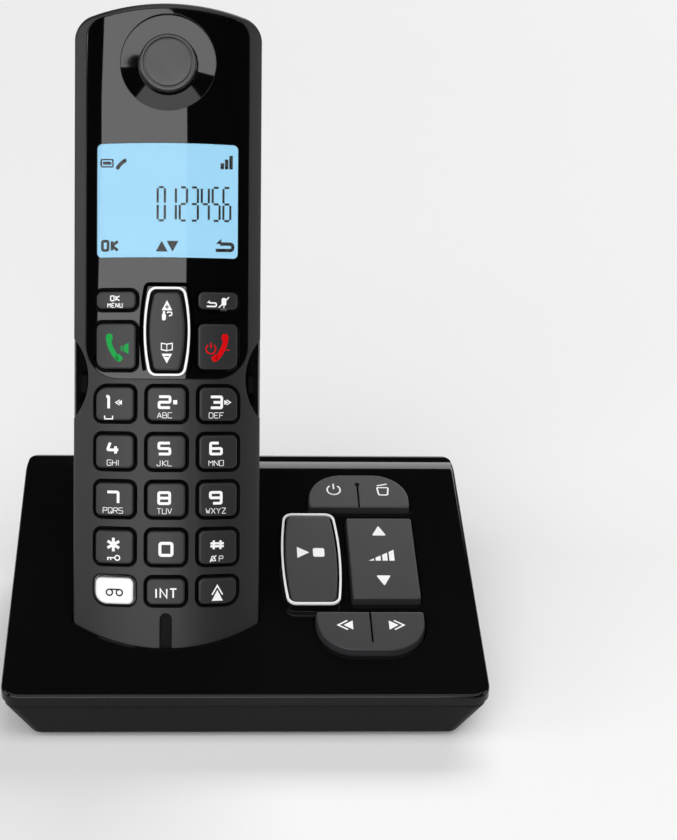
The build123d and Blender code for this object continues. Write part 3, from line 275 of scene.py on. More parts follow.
def receiver(chord, thick=0.15):
    """A telephone receiver standing on end, bowed to the left, with its two cups on the right."""
    radius, thick, half_turn = chord * 1.35, chord * thick, 21
    outer = arc(radius, 0, radius, 180 - half_turn, 180 + half_turn)
    inner = arc(radius, 0, radius - thick, 180 + half_turn, 180 - half_turn)
    marks = [outer + inner]
    for end in (-1, 1):
        x, y = arc(radius, 0, radius - chord * 0.13, 180 + end * half_turn, 0)[0]
        cup = block(0, -end * chord * 0.03, chord * 0.1 + thick * 0.7, chord * 0.26, chord * 0.09)
        marks += moved(cup, x, -y, turn=-end * half_turn)
    return marks


def power(radius, line):
    """A broken ring with a bar in its gap."""
    marks = stroke(arc(0, 0, radius, 125, 415), line)
    return marks + stroke([(0, radius * 0.15), (0, radius * 1.3)], line)


def loudspeaker(size):
    """A loudspeaker with sound bars to its left."""
    cone = [(0, -0.34), (0.5, -0.62), (0.5, 0.62), (0, 0.34)]
    marks = [[(x * size, y * size) for x, y in cone]]
    for at, high in ((-0.14, 0.3), (-0.32, 0.3)):
        marks += block(at * size, 0, 0.1 * size, 2 * high * size)
    return marks


def back_arrow(width, height, line):
    """An arrow that turns back to the left."""
    right, low = width / 2, -height / 2
    top, neck = height * 0.2, -right * 0.35
    path = [(-right, low + line / 2), (right, low + line / 2), (right, top), (-right * 0.5, top)]
    head = [(-right, top), (neck, top), (neck, top + height * 0.45)]
    return stroke(path, line, height * 0.35) + shape(head)


def microphone_off(height, line):
    """A microphone on its stand, struck through."""
    marks = block(0, height * 0.12, height * 0.34, height * 0.56, height * 0.16)
    marks += stroke([(0, -height * 0.2), (0, -height * 0.42)], line)
    marks += stroke([(-height * 0.24, -height * 0.45), (height * 0.24, -height * 0.45)], line)
    return marks + stroke([(-height * 0.36, -height * 0.3), (height * 0.36, height * 0.46)], line)


def tape(width, line):
    """Two reels with a tape along their tops."""
    radius = width * 0.175
    edge = (width - line) / 2 - radius
    marks = stroke([(-edge, radius), (edge, radius)], line)
    for x in (-edge, edge):
        marks += stroke(arc(x, 0, radius, 0, 360)[:-1], line, closed=True)
    return marks


def book(width, height, line):
    """An open book."""
    marks = []
    for side in (-1, 1):
        page = [(0, -height * 0.42), (side * width / 2, -height * 0.3)]
        page += [(side * width / 2, height / 2), (0, height * 0.38)]
        marks += stroke(page, line, closed=True)
    return marks


def person(height):
    """A standing figure: head over body."""
    head = disc(0, height * 0.38, height * 0.13)
    return head + block(0, -height * 0.12, height * 0.42, height * 0.76, height * 0.2)


def bin_with_lid(size, line):
    """A waste bin with its lid lifted."""
    body = [(-0.42, 0.22), (0.42, 0.22), (0.32, -0.55), (-0.32, -0.55)]
    marks = stroke([(x * size, y * size) for x, y in body], line, 0.1 * size, True)
    return marks + stroke([(-0.4 * size, 0.42 * size), (0.36 * size, 0.6 * size)], line)


def rising_bars(count, width, height, gap, low=0.25):
    """Bars that grow to the right."""
    marks = []
    bar = (width - gap * (count - 1)) / count
    for at in range(count):
        high = height * (low + (1 - low) * at / (count - 1))
        marks += block(-width / 2 + bar / 2 + at * (bar + gap), -height / 2 + high / 2, bar, high)
    return marks


def growing_wedge(count, width, height, gap):
    """A wedge that grows to the right, cut into bars."""
    marks = []
    bar = (width - gap * (count - 1)) / count
    for at in range(count):
        left = -width / 2 + at * (bar + gap)
        right = left + bar
        first, last = (left + width / 2) / width * height, (right + width / 2) / width * height
        low = -height / 2
        marks.append([(left, low), (right, low), (right, low + last), (left, low + first + 0.02)])
    return marks


def bell_off(size, line):
    """A bell struck through."""
    bell = [(-0.45, -0.3), (-0.25, 0), (-0.2, 0.4), (0.2, 0.4), (0.25, 0), (0.45, -0.3)]
    marks = stroke([(x * size, y * size) for x, y in bell], line, 0.12 * size, True)
    return marks + stroke([(-0.5 * size, -0.5 * size), (0.5 * size, 0.55 * size)], line)


def door_key(size, line):
    """A small key lying flat."""
    marks = stroke(arc(0.3 * size, 0, 0.2 * size, 0, 360)[:-1], line, closed=True)
    marks += stroke([(0.1 * size, 0), (-0.5 * size, 0), (-0.5 * size, -0.22 * size)], line)
    return marks + stroke([(-0.25 * size, 0), (-0.25 * size, -0.2 * size)], line)


def star(size, line):
    """A star of three crossed bars."""
    marks = []
    for turn in (90, 30, 150):
        marks += stroke(arc(0, 0, size / 2, turn, turn + 180, 1), line)
    return marks


# Seven-segment digits: a is the top bar, then clockwise, and g is the middle bar
SEGMENTS = {
    "0": "abcdef", "1": "bc", "2": "abdeg", "3": "abcdg", "4": "bcfg",
    "5": "acdfg", "6": "acdefg", "7": "abc", "8": "abcdefg", "9": "abcdfg",
}


def segment_number(text, height, width, line, gap):
    """A number in seven-segment digits, centred on the origin."""
    across, up, cut = width / 2, height / 2, line * 0.5
    ends = {
        "a": ((-across + cut, up), (across - cut, up)), "b": ((across, up - cut), (across, cut)),
        "c": ((across, -cut), (across, -up + cut)), "d": ((-across + cut, -up), (across - cut, -up)),
        "e": ((-across, -cut), (-across, -up + cut)), "f": ((-across, up - cut), (-across, cut)),
        "g": ((-across + cut, 0), (across - cut, 0)),
    }
    marks = []
    for at, digit in enumerate(text):
        place = (at - (len(text) - 1) / 2) * (width + gap)
        for name in SEGMENTS[digit]:
            marks += moved(stroke(ends[name], line), place)
    return marks


def handset_axes():
    """Up the handset and out of its face."""
    lean = settings()[1].lean
    return Vector((0, sin(lean), cos(lean))), Vector((0, -cos(lean), sin(lean)))


def base_axes():
    """Up the base's slope and off it."""
    slope = settings()[1].slope
    return Vector((0, cos(slope), sin(slope))), Vector((0, -sin(slope), cos(slope)))


def middle(node):
    """Centre of a CAD node's box."""
    low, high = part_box(node)
    return (Vector(low) + Vector(high)) / 2


def place_mesh(name, form, material):
    """Turns a form into an object of one material in the scene."""
    mesh = bpy.data.meshes.new(name)
    form.to_mesh(mesh)
    form.free()
    mesh.materials.append(material)
    placed = bpy.data.objects.new(name, mesh)
    bpy.context.scene.collection.objects.link(placed)
    return placed


def print_on(name, node, axes, marks, ink):
    """Lays flat marks, in millimetres from the node's middle, on the node's outer face as thin ink."""
    sizes = settings()[1]
    up, out = axes
    centre = middle(node)
    surface = frame["nodes"][node]
    form = bmesh.new()
    for outline in marks:
        corners = [form.verts.new((u * MM, v * MM, 0)) for u, v in outline]
        for triple in tessellate_polygon([[Vector((u, v, 0)) for u, v in outline]]):
            form.faces.new([corners[at] for at in triple])
    long_edges = [e for e in form.edges if e.calc_length() > sizes.facet]
    while long_edges:
        bmesh.ops.subdivide_edges(form, edges=long_edges, cuts=1)
        bmesh.ops.triangulate(form, faces=form.faces)
        long_edges = [e for e in form.edges if e.calc_length() > sizes.facet]
    for corner in form.verts:
        above = centre + ACROSS * corner.co.x + up * corner.co.y + out * 0.05
        hit, spot = surface.ray_cast(above, -out)[:2]
        if not hit:
            raise RuntimeError(f"{name} runs off {node}")
        corner.co = spot + out * sizes.ink_height
    for face in form.faces:
        face.normal_update()
        if face.normal.dot(out) < 0:
            face.normal_flip()
    printed = place_mesh(name, form, ink)
    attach(printed, body_of(node))
    return printed


def paint_hole_shade(name, node, keys):
    """Black bands of painted shade round the holes of keys, given with the radii of their corners in
    millimetres.
    """
    sizes = settings()[1]
    flange, wide, gap = sizes.flange / MM, sizes.hole_shade_width / MM, sizes.hole_shade_gap / MM
    up = handset_axes()[0]
    centre = middle(node)
    marks = []
    for key, radii in keys.items():
        corners = [corner.co - centre for corner in frame["nodes"][key].data.vertices]
        across = sorted(corner.x / MM for corner in corners)
        high = sorted(corner.dot(up) / MM for corner in corners)
        width = across[-1] - across[0] - 2 * flange + wide + 2 * gap
        height = high[-1] - high[0] - 2 * flange + wide + 2 * gap
        line = stroke(round_block(width, height, radii), wide, closed=True)
        marks += moved(line, (across[0] + across[-1]) / 2, (high[0] + high[-1]) / 2)
    print_on(name, node, handset_axes(), marks, painted_shade_black())


def body_of(node):
    """Name of the CAD body that carries a node."""
    bodies = frame["record"]["behaviour"]["bodies"]
    return next(name for name, nodes in bodies.items() if node in nodes)


def dress(nodes, material):
    """Gives CAD nodes one material."""
    for name in nodes:
        mesh = frame["nodes"][name].data
        mesh.materials.clear()
        mesh.materials.append(material)


# Materials


def add_node(tree, kind, inputs=None, **options):
    """Adds a node, sets its options and sets or links its inputs."""
    made = tree.nodes.new(kind)
    for key, value in options.items():
        setattr(made, key, value)
    for key, value in (inputs or {}).items():
        if isinstance(value, bpy.types.NodeSocket):
            tree.links.new(value, made.inputs[key])
        else:
            made.inputs[key].default_value = value
    return made


def new_material(name, finish):
    """A material whose finish function returns the inputs of its main shader."""
    material = bpy.data.materials.get(name) or bpy.data.materials.new(name)
    material.use_nodes = True
    tree = material.node_tree
    tree.nodes.clear()
    place = add_node(tree, "ShaderNodeTexCoord").outputs["Object"]
    shader = add_node(tree, "ShaderNodeBsdfPrincipled", finish(tree, place))
    add_node(tree, "ShaderNodeOutputMaterial", {"Surface": shader.outputs["BSDF"]})
    return material


def opaque(rgb, gain=1.0):
    """A colour with alpha, made lighter or darker by gain."""
    return (*(min(1, v * gain) for v in rgb), 1)


def speckle(tree, place, grain, detail=3.0):
    """Soft noise with grains of that size in millimetres."""
    inputs = {"Vector": place, "Scale": 1 / (grain * MM), "Detail": detail}
    return add_node(tree, "ShaderNodeTexNoise", inputs).outputs["Fac"]


def spread(tree, value, low, high):
    """The middle of a value's range, stretched to run from low to high."""
    inputs = {"Value": value, "From Min": 0.3, "From Max": 0.7, "To Min": low, "To Max": high}
    return add_node(tree, "ShaderNodeMapRange", inputs).outputs["Result"]


def tones(tree, value, rgb, low, high):
    """Colour that runs between two gains of rgb over the middle of a value's range."""
    ramp = add_node(tree, "ShaderNodeValToRGB", {"Fac": value})
    ramp.color_ramp.elements[0].position = 0.3
    ramp.color_ramp.elements[0].color = opaque(rgb, low)
    ramp.color_ramp.elements[1].position = 0.7
    ramp.color_ramp.elements[1].color = opaque(rgb, high)
    return ramp.outputs["Color"]


def bump(tree, height, distance, strength=1.0, normal=None):
    """Normals from a height, distance in millimetres."""
    inputs = {"Height": height, "Distance": distance * MM, "Strength": strength}
    if normal:
        inputs["Normal"] = normal
    return add_node(tree, "ShaderNodeBump", inputs).outputs["Normal"]


def soft_edges(tree, radius):
    """Normals that round sharp edges over that radius in millimetres."""
    return add_node(tree, "ShaderNodeBevel", {"Radius": radius * MM}, samples=4).outputs["Normal"]


def moulded_plastic(name, rgb, roughness, grain=0.22, depth=0.006, sheen=0.4):
    """Matte moulded plastic: a fine spark-eroded grain breaks its highlights into a soft sheen."""

    def finish(tree, place):
        fine = speckle(tree, place, grain)
        broad = speckle(tree, place, 18.0)
        return {
            "Base Color": tones(tree, broad, rgb, 0.93, 1.07),
            "Roughness": spread(tree, fine, roughness - 0.04, roughness + 0.04),
            "IOR": 1.5,
            "Specular IOR Level": sheen,
            "Normal": bump(tree, fine, depth, normal=soft_edges(tree, 0.18)),
        }

    return new_material(name, finish)


def face_height(tree, place):
    """Height above the handset's crowned face, in metres, from the crown's axis."""
    out = handset_axes()[1]
    radius = settings()[1].crown
    crest = max(corner.co.dot(out) for corner in frame["nodes"]["handset_front_case"].data.vertices)
    across = add_node(tree, "ShaderNodeSeparateXYZ", {"Vector": place}).outputs["X"]
    off = add_node(tree, "ShaderNodeVectorMath", {0: place, 1: out}, operation="DOT_PRODUCT")
    flat = add_node(tree, "ShaderNodeCombineXYZ", {"X": across, "Y": off.outputs["Value"]}).outputs["Vector"]
    axis = (middle("handset_front_case").x, crest - radius, 0)
    apart = add_node(tree, "ShaderNodeVectorMath", {0: flat, 1: axis}, operation="DISTANCE")
    inputs = {0: apart.outputs["Value"], 1: radius}
    return add_node(tree, "ShaderNodeMath", inputs, operation="SUBTRACT").outputs["Value"]


def key_with_shaded_sides(name, rgb, roughness, low, high):
    """Satin key that darkens to black and turns dull down its sides: painted shade for the gap round it."""

    def finish(tree, place):
        fine = speckle(tree, place, 0.3)
        # Darker below the key's top: painted shade standing for the gap round the key
        inputs = {"Value": face_height(tree, place), "From Min": low * MM, "From Max": high * MM}
        painted = add_node(tree, "ShaderNodeMapRange", inputs).outputs["Result"]
        return {
            "Base Color": tones(tree, painted, rgb, 0.08, 1.0),
            "Roughness": spread(tree, painted, 0.9, roughness),
            "IOR": 1.5,
            "Specular IOR Level": 0.4,
            "Normal": bump(tree, fine, 0.003, normal=soft_edges(tree, 0.18)),
        }

    return new_material(name, finish)


def polished_plastic(name, rgb, roughness=0.05, sheen=0.5):
    """Piano-black plastic: a clear mirror over black, with faint wipe marks in its gloss."""

    def finish(tree, place):
        wiped = speckle(tree, place, 7.0, 5.0)
        broad = speckle(tree, place, 40.0)
        return {
            "Base Color": tones(tree, broad, rgb, 0.9, 1.1),
            "Roughness": spread(tree, wiped, roughness * 0.8, roughness * 1.3),
            "IOR": 1.5,
            "Specular IOR Level": sheen,
            "Normal": soft_edges(tree, 0.2),
        }

    return new_material(name, finish)


def clear_acrylic(name):
    """Clear window: see-through, with a weak mirror on its crowned front."""

    def finish(tree, place):
        wiped = speckle(tree, place, 9.0, 4.0)
        return {
            "Base Color": (1, 1, 1, 1),
            "Transmission Weight": 1.0,
            "Roughness": spread(tree, wiped, 0.0, 0.015),
            "IOR": 1.25,
        }

    return new_material(name, finish)


def lit_display(name, rgb, glow):
    """Lit liquid-crystal sheet: even pale light with a slight random unevenness."""

    def finish(tree, place):
        uneven = speckle(tree, place, 16.0, 1.0)
        shade = tones(tree, uneven, rgb, 0.985, 1.015)
        return {
            "Base Color": opaque(rgb, 0.12),
            "Emission Color": shade,
            "Emission Strength": glow,
            "Roughness": 0.5,
            "IOR": 1.5,
            "Specular IOR Level": 0.0,
        }

    return new_material(name, finish)


def printed_ink(name, rgb, roughness=0.4, sheen=0.15):
    """Screen-printed ink: opaque and matt, thinner in places."""

    def finish(tree, place):
        thin = speckle(tree, place, 0.35, 2.0)
        return {
            "Base Color": tones(tree, thin, rgb, 0.95, 1.0),
            "Roughness": spread(tree, thin, roughness - 0.05, roughness + 0.05),
            "IOR": 1.5,
            "Specular IOR Level": sheen,
        }

    return new_material(name, finish)


def painted_shade_black():
    """Black of narrow bands of painted shade: so dull that no highlight runs along it."""
    return printed_ink("black_painted_shade", settings()[0].pit, 0.9, 0.0)


def soft_rubber(name, rgb):
    """Rubber: dull and dusty, with a grain finer than the plastic's."""

    def finish(tree, place):
        fine = speckle(tree, place, 0.4)
        return {
            "Base Color": tones(tree, fine, rgb, 0.85, 1.15),
            "Roughness": spread(tree, fine, 0.7, 0.85),
            "IOR": 1.52,
            "Specular IOR Level": 0.2,
            "Normal": bump(tree, fine, 0.02),
        }

    return new_material(name, finish)


def background_rays(tree):
    """One for rays that show the background: from the camera, mirrored or seen through."""
    path = add_node(tree, "ShaderNodeLightPath").outputs
    inputs = {0: path["Is Camera Ray"], 1: path["Is Glossy Ray"]}
    two = add_node(tree, "ShaderNodeMath", inputs, operation="ADD").outputs["Value"]
    inputs = {0: two, 1: path["Is Transmission Ray"]}
    return add_node(tree, "ShaderNodeMath", inputs, operation="ADD", use_clamp=True).outputs["Value"]


def pale_floor(name, rgb):
    """Paper sweep: dead matt, and to the eye alone it fades to white away from the object."""

    def finish(tree, place):
        broad = speckle(tree, place, 900.0, 1.0)
        away = add_node(tree, "ShaderNodeVectorMath", {0: place}, operation="LENGTH").outputs["Value"]
        inputs = {"Value": away, "From Min": 0.1, "From Max": 1.5}
        far = add_node(tree, "ShaderNodeMapRange", inputs).outputs["Result"]
        inputs = {0: background_rays(tree), 1: far}
        lift = add_node(tree, "ShaderNodeMath", inputs, operation="MULTIPLY").outputs["Value"]
        keep = add_node(tree, "ShaderNodeMath", {0: 1.0, 1: lift}, operation="SUBTRACT").outputs["Value"]
        paper = add_node(tree, "ShaderNodeVectorMath", {0: rgb, "Scale": keep}, operation="SCALE")
        return {
            "Base Color": paper.outputs["Vector"],
            "Roughness": spread(tree, broad, 0.86, 0.94),
            "Specular IOR Level": 0.1,
            "Emission Color": (1, 1, 1, 1),
            "Emission Strength": lift,
        }

    return new_material(name, finish)


def circuit_board(name, rgb):
    """Circuit board: copper runs show as lighter paths under the solder mask."""

    def finish(tree, place):
        inputs = {"Vector": place, "Scale": 1 / (4.0 * MM)}
        cells = add_node(tree, "ShaderNodeTexVoronoi", inputs, feature="DISTANCE_TO_EDGE")
        runs = cells.outputs["Distance"]
        return {
            "Base Color": tones(tree, runs, rgb, 1.35, 0.8),
            "Roughness": spread(tree, runs, 0.25, 0.4),
            "IOR": 1.55,
        }

    return new_material(name, finish)


def drawn_metal(name, rgb, roughness):
    """Drawn or stamped metal: fine streaks along its length."""

    def finish(tree, place):
        inputs = {"Vector": place, "Scale": (1, 1, 0.08)}
        stretched = add_node(tree, "ShaderNodeMapping", inputs).outputs["Vector"]
        streaks = speckle(tree, stretched, 0.15)
        return {
            "Base Color": tones(tree, streaks, rgb, 0.9, 1.1),
            "Metallic": 1.0,
            "Roughness": spread(tree, streaks, roughness - 0.06, roughness + 0.06),
        }

    return new_material(name, finish)


def cell_sleeve(name, rgb):
    """Shrink sleeve of a cell: glossy film with slight ripples."""

    def finish(tree, place):
        ripples = speckle(tree, place, 3.0)
        return {
            "Base Color": tones(tree, ripples, rgb, 0.92, 1.08),
            "Roughness": spread(tree, ripples, 0.22, 0.32),
            "IOR": 1.5,
            "Normal": bump(tree, ripples, 0.05),
        }

    return new_material(name, finish)


# Pieces


class PHONE_OT_cases(bpy.types.Operator):
    """Matte front case, polished rear case, battery door and microphone slot"""

    bl_idname = "phone.cases"
    bl_label = "Handset cases"

    def execute(self, context):
        colours = settings()[0]
        dress(["handset_front_case"], moulded_plastic("matte_abs_case", colours.case, 0.42))
        gloss = polished_plastic("polished_abs_handset", colours.gloss)
        dress(["handset_rear_case", "battery_door"], gloss)
        dress(["microphone_boot"], soft_rubber("black_rubber_boot", colours.pit))
        dress(["handset_screws"], drawn_metal("zinc_steel_screws", colours.steel, 0.35))
        dress(["handset_contacts"], drawn_metal("gold_flashed_contacts", colours.gold, 0.25))
        return {"FINISHED"}


class PHONE_OT_panel(bpy.types.Operator):
    """Polished front panel with its earpiece and the white navigation ring"""

    bl_idname = "phone.panel"
    bl_label = "Front panel"

    def execute(self, context):
        colours = settings()[0]
        dress(["front_panel"], polished_plastic("polished_acrylic_panel", colours.panel, 0.03))
        dress(["earpiece_cap"], polished_plastic("satin_abs_earpiece", colours.case, 0.16))
        dress(["nav_ring"], moulded_plastic("white_abs_ring", colours.white, 0.3, depth=0.002))
        up = handset_axes()[0]
        away = middle("nav_ring") - middle("front_panel")
        frame_line = stroke(barrel(12.8, 23.4, 10.4, 12)[1:-1], 1.0, 1.4)
        marks = moved(frame_line, away.x / MM, away.dot(up) / MM)
        print_on("nav_ring_shadow_print", "front_panel", handset_axes(), marks, painted_shade_black())
        return {"FINISHED"}


class PHONE_OT_display(bpy.types.Operator):
    """Clear window over the lit display, with its dark marks"""

    bl_idname = "phone.display"
    bl_label = "Display"

    def execute(self, context):
        colours = settings()[0]
        dress(["display_window"], clear_acrylic("clear_acrylic_window"))
        dress(["lcd_module"], lit_display("lit_liquid_crystal", colours.display, 0.89))
        battery = stroke([(-1.45, -0.9), (1.45, -0.9), (1.45, 0.9), (-1.45, 0.9)], 0.36, 0.2, True)
        battery += block(0, 0, 2.1, 0.78) + block(-1.62, 0, 0.3, 0.8)
        marks = moved(battery, -15.0, 9.65)
        marks += moved(receiver(3.1, 0.3), -11.9, 9.85, turn=-45)
        marks += moved(rising_bars(3, 3.1, 3.4, 0.22, 0.45), 14.5, 10.1)
        marks += moved(segment_number("0123456", 8.3, 1.75, 0.54, 0.95), 6.5, -0.4)
        marks += moved(words("OK", 3.0, 2.15, 0.7, 0.3), -14.2, -11.0)
        marks += moved(triangle(2.9, 2.7, 0.06), -1.45, -11.0)
        marks += moved(triangle(2.9, 2.7, 0.06, 180), 1.2, -11.0)
        marks += moved(back_arrow(4.3, 2.9, 0.85), 14.0, -10.9)
        ink = printed_ink("dark_liquid_crystal", colours.segment, 0.5, 0.0)
        print_on("display_marks", "lcd_module", handset_axes(), marks, ink)
        return {"FINISHED"}


class PHONE_OT_keypad(bpy.types.Operator):
    """Satin digit keys and the low row, with their white printing"""

    bl_idname = "phone.keypad"
    bl_label = "Keypad"

    def execute(self, context):
        colours, sizes = settings()
        letters = {
            "2": "ABC", "3": "DEF", "4": "GHI", "5": "JKL", "6": "MNO",
            "7": "PQRS", "8": "TUV", "9": "WXYZ",
        }
        thin = sizes.letter_stroke / MM
        digit, digit_line = sizes.digit / MM, sizes.digit_stroke / MM
        letter = sizes.letter / MM
        legends = {}
        for name in "1234567890":
            lift = 1.25 if name in "456" else 0.85
            marks = moved(words(name, digit, digit, digit_line, corner=0.1), -0.5, lift)
            if name in letters:
                small = words(letters[name], letter, letter * 0.78, thin, 0.16)
                marks += moved(small, -0.45, -2.4)
            legends["key_" + name] = marks
        legends["key_0"] = words("0", digit * 1.1, digit * 1.1, digit_line * 1.1)
        one = moved(words("1", digit * 1.08, digit * 0.92, digit_line), -1.6, 0.7)
        space = stroke([(-1.0, 0.4), (-1.0, -0.4), (1.0, -0.4), (1.0, 0.4)], 0.3)
        legends["key_1"] = one + moved(double_arrow(1.25, 0.24, 180), 0.95, 0.7) + moved(space, -1.6, -3.0)
        legends["key_2"] += block(2.15, 0.85, 1.0, 1.05, 0.12)
        legends["key_3"] += moved(double_arrow(1.25, 0.24), 2.3, 0.85)
        legends["key_star"] = moved(star(3.4, 0.7), -0.3, 1.0) + moved(door_key(3.0, 0.3), -0.2, -2.3)
        hash_marks = moved(words("#", 2.75, 3.9, 0.56, corner=0), -0.1, 1.0)
        bells = moved(bell_off(1.6, 0.22), -1.1, -2.5) + moved(words("P", letter, 1.1, thin), 0.9, -2.5)
        legends["key_hash"] = hash_marks + bells
        legends["key_intercom"] = words("INT", 2.6, 2.0, 0.4, 0.4, 0)
        arrows = moved(triangle(2.8, 2.7, 0.06), y=-0.7)
        roof = stroke([(-1.33, -0.55), (0, 1.75), (1.33, -0.55)], 0.34)
        legends["key_redial"] = arrows + roof
        # The keys darken down their sides: painted shade for the gaps round them
        satin = key_with_shaded_sides("satin_keys_shaded_sides", colours.key, 0.4, 0.5, 1.05)
        ink = printed_ink("white_screen_ink", colours.ink)
        dress(list(legends), satin)
        for node, marks in legends.items():
            print_on("legend_" + node, node, handset_axes(), marks, ink)
        dress(["key_answerphone"], moulded_plastic("white_abs_key", colours.white, 0.34, 0.3, 0.002))
        black = printed_ink("black_screen_ink", colours.pit, 0.6)
        corners = {name: [2.1] * 4 for name in (*legends, "key_answerphone")}
        corners["key_1"][3] = corners["key_3"][2] = 3.5
        corners["key_answerphone"][0] = corners["key_redial"][1] = 3.5
        # Black bands round the key holes in the case: painted shade for the gaps round the keys
        paint_hole_shade("key_hole_painted_shade", "handset_front_case", corners)
        reels = tape(4.4, 0.36)
        print_on("legend_key_answerphone", "key_answerphone", handset_axes(), reels, black)
        return {"FINISHED"}


class PHONE_OT_function_keys(bpy.types.Operator):
    """Menu, mute, call, end and navigation keys with their printing"""

    bl_idname = "phone.function_keys"
    bl_label = "Function keys"

    def execute(self, context):
        colours, sizes = settings()
        # The keys darken down their sides: painted shade for the gaps round them
        satin = key_with_shaded_sides("satin_function_keys_shaded_sides", colours.key, 0.4, 0.0, 0.55)
        dress(["key_menu", "key_mute", "key_call", "key_end", "nav_key"], satin)
        corners = {name: [2.1] * 4 for name in ("key_menu", "key_mute", "key_call", "key_end")}
        corners["key_call"][0] = corners["key_end"][1] = 3.0
        # Black bands round the key holes in the panel: painted shade for the gaps round the keys
        paint_hole_shade("panel_hole_painted_shade", "front_panel", corners)
        white = printed_ink("white_screen_ink", colours.ink)
        green = printed_ink("green_screen_ink", colours.green)
        red = printed_ink("red_screen_ink", colours.red)
        axes = handset_axes()
        menu = moved(words("OK", 1.45, 1.15, 0.28, 0.2), -0.3, 0.8)
        menu += moved(words("MENU", 1.25, 0.85, 0.2, 0.16), -0.3, -0.95)
        print_on("legend_key_menu", "key_menu", axes, menu, white)
        mute = moved(back_arrow(2.4, 1.5, 0.36), -1.6, -0.5)
        mute += moved(microphone_off(3.5, 0.3), 1.5, -0.3)
        print_on("legend_key_mute", "key_mute", axes, mute, white)
        lifted = moved(receiver(6.9, 0.18), -1.75, -0.6, turn=25)
        call = lifted + moved(loudspeaker(2.25), 2.0, -0.2)
        print_on("legend_key_call", "key_call", axes, call, green)
        laid_down = [[(-u, v) for u, v in reversed(outline)] for outline in lifted]
        end = moved(laid_down, 0.1, 0.1) + moved(power(1.2, 0.34), -1.7, -0.2)
        end += stroke([(0.4, -0.45), (3.0, -0.45)], 0.26)
        print_on("legend_key_end", "key_end", axes, end, red)
        up_mark = moved(triangle(2.6, 2.5, 0.06), y=6.5)
        figures = moved(person(2.3), -0.75, 3.9) + moved(words("?", 1.9, 1.4, 0.3), 0.65, 4.0)
        down_mark = moved(triangle(2.6, 2.4, 0.06, 180), y=-6.7)
        nav = up_mark + figures + moved(book(2.7, 2.0, 0.26), y=-3.9) + down_mark
        print_on("legend_nav_key", "nav_key", axes, nav, white)
        grey = printed_ink("grey_key_show_through", colours.key)
        sign = moved(stroke([(-0.5, 0), (0.5, 0)], 0.24), y=6.1)
        sign += moved(stroke([(0, -0.5), (0, 0.5)], 0.24), y=6.1)
        sign += moved(stroke([(-0.55, 0), (0.55, 0)], 0.24), y=-6.2)
        signs = print_on("legend_nav_signs", "nav_key", axes, sign, grey)
        for corner in signs.data.vertices:
            corner.co += axes[1] * sizes.ink_height
        return {"FINISHED"}


class PHONE_OT_base_shell(bpy.types.Operator):
    """Polished cover, matte housing, feet, screws, sockets and charging pins"""

    bl_idname = "phone.base_shell"
    bl_label = "Base shell"

    def execute(self, context):
        colours = settings()[0]
        dress(["base_top_cover"], polished_plastic("polished_abs_cover", colours.gloss, 0.06, 0.25))
        dress(["base_housing"], moulded_plastic("matte_abs_housing", colours.housing, 0.45, sheen=0.15))
        dress(["base_feet"], soft_rubber("rubber_feet", colours.rubber))
        dress(["base_screws"], drawn_metal("zinc_steel_screws", colours.steel, 0.35))
        dress(["line_socket", "power_socket"], moulded_plastic("black_nylon_sockets", colours.gloss, 0.4))
        pins = drawn_metal("gold_flashed_pins", colours.gold, 0.22)
        dress(["charge_pin_left", "charge_pin_right"], pins)
        return {"FINISHED"}


class PHONE_OT_base_keys(bpy.types.Operator):
    """Satin keys of the answering machine with their printing, and the white play ring"""

    bl_idname = "phone.base_keys"
    bl_label = "Base keys"

    def execute(self, context):
        colours, sizes = settings()
        line = sizes.icon_stroke / MM
        satin = moulded_plastic("satin_abs_base_keys", colours.base_key, 0.38, 0.3, 0.003)
        switch = moved(power(1.8, line), -6.6, -0.3)
        louder = moved(triangle(3.8, 3.6, 0.5), -0.3, 9.0)
        level = moved(growing_wedge(4, 6.8, 3.9, 0.45), -0.3, 0.05)
        softer = moved(triangle(3.8, 3.6, 0.5, 180), -0.3, -8.9)
        back = moved(double_arrow(3.0, line, 180), -6.5, 1.1)
        legends = {
            "key_power_delete": switch + moved(bin_with_lid(3.7, line), 6.9, -0.2),
            "key_play": moved(triangle(4.0, 3.2, 0.1, -90), -2.0, 1.2) + block(2.1, 1.2, 3.0, 3.1, 0.6),
            "key_volume": louder + level + softer,
            "key_skip": back + moved(double_arrow(3.0, line), 6.4, 1.1),
        }
        ink = printed_ink("white_screen_ink", colours.ink)
        dress(list(legends), satin)
        for node, marks in legends.items():
            print_on("legend_" + node, node, base_axes(), marks, ink)
        dress(["play_ring"], moulded_plastic("white_abs_ring", colours.white, 0.3, depth=0.002))
        return {"FINISHED"}


class PHONE_OT_inside(bpy.types.Operator):
    """Boards, key mats, speakers, cells and contacts inside the two bodies"""

    bl_idname = "phone.inside"
    bl_label = "Inside"

    def execute(self, context):
        colours = settings()[0]
        dress(["handset_board", "base_board"], circuit_board("masked_circuit_board", colours.board))
        dress(["key_mat", "base_key_mat"], soft_rubber("silicone_key_mat", colours.rubber))
        speakers = ["earpiece_speaker", "ringer_speaker", "base_speaker", "microphone"]
        dress(speakers, drawn_metal("stamped_steel_speaker", colours.steel, 0.4))
        dress(["battery_cells"], cell_sleeve("cell_shrink_sleeve", colours.sleeve))
        dress(["battery_contacts"], drawn_metal("nickel_spring_contacts", colours.steel, 0.25))
        return {"FINISHED"}


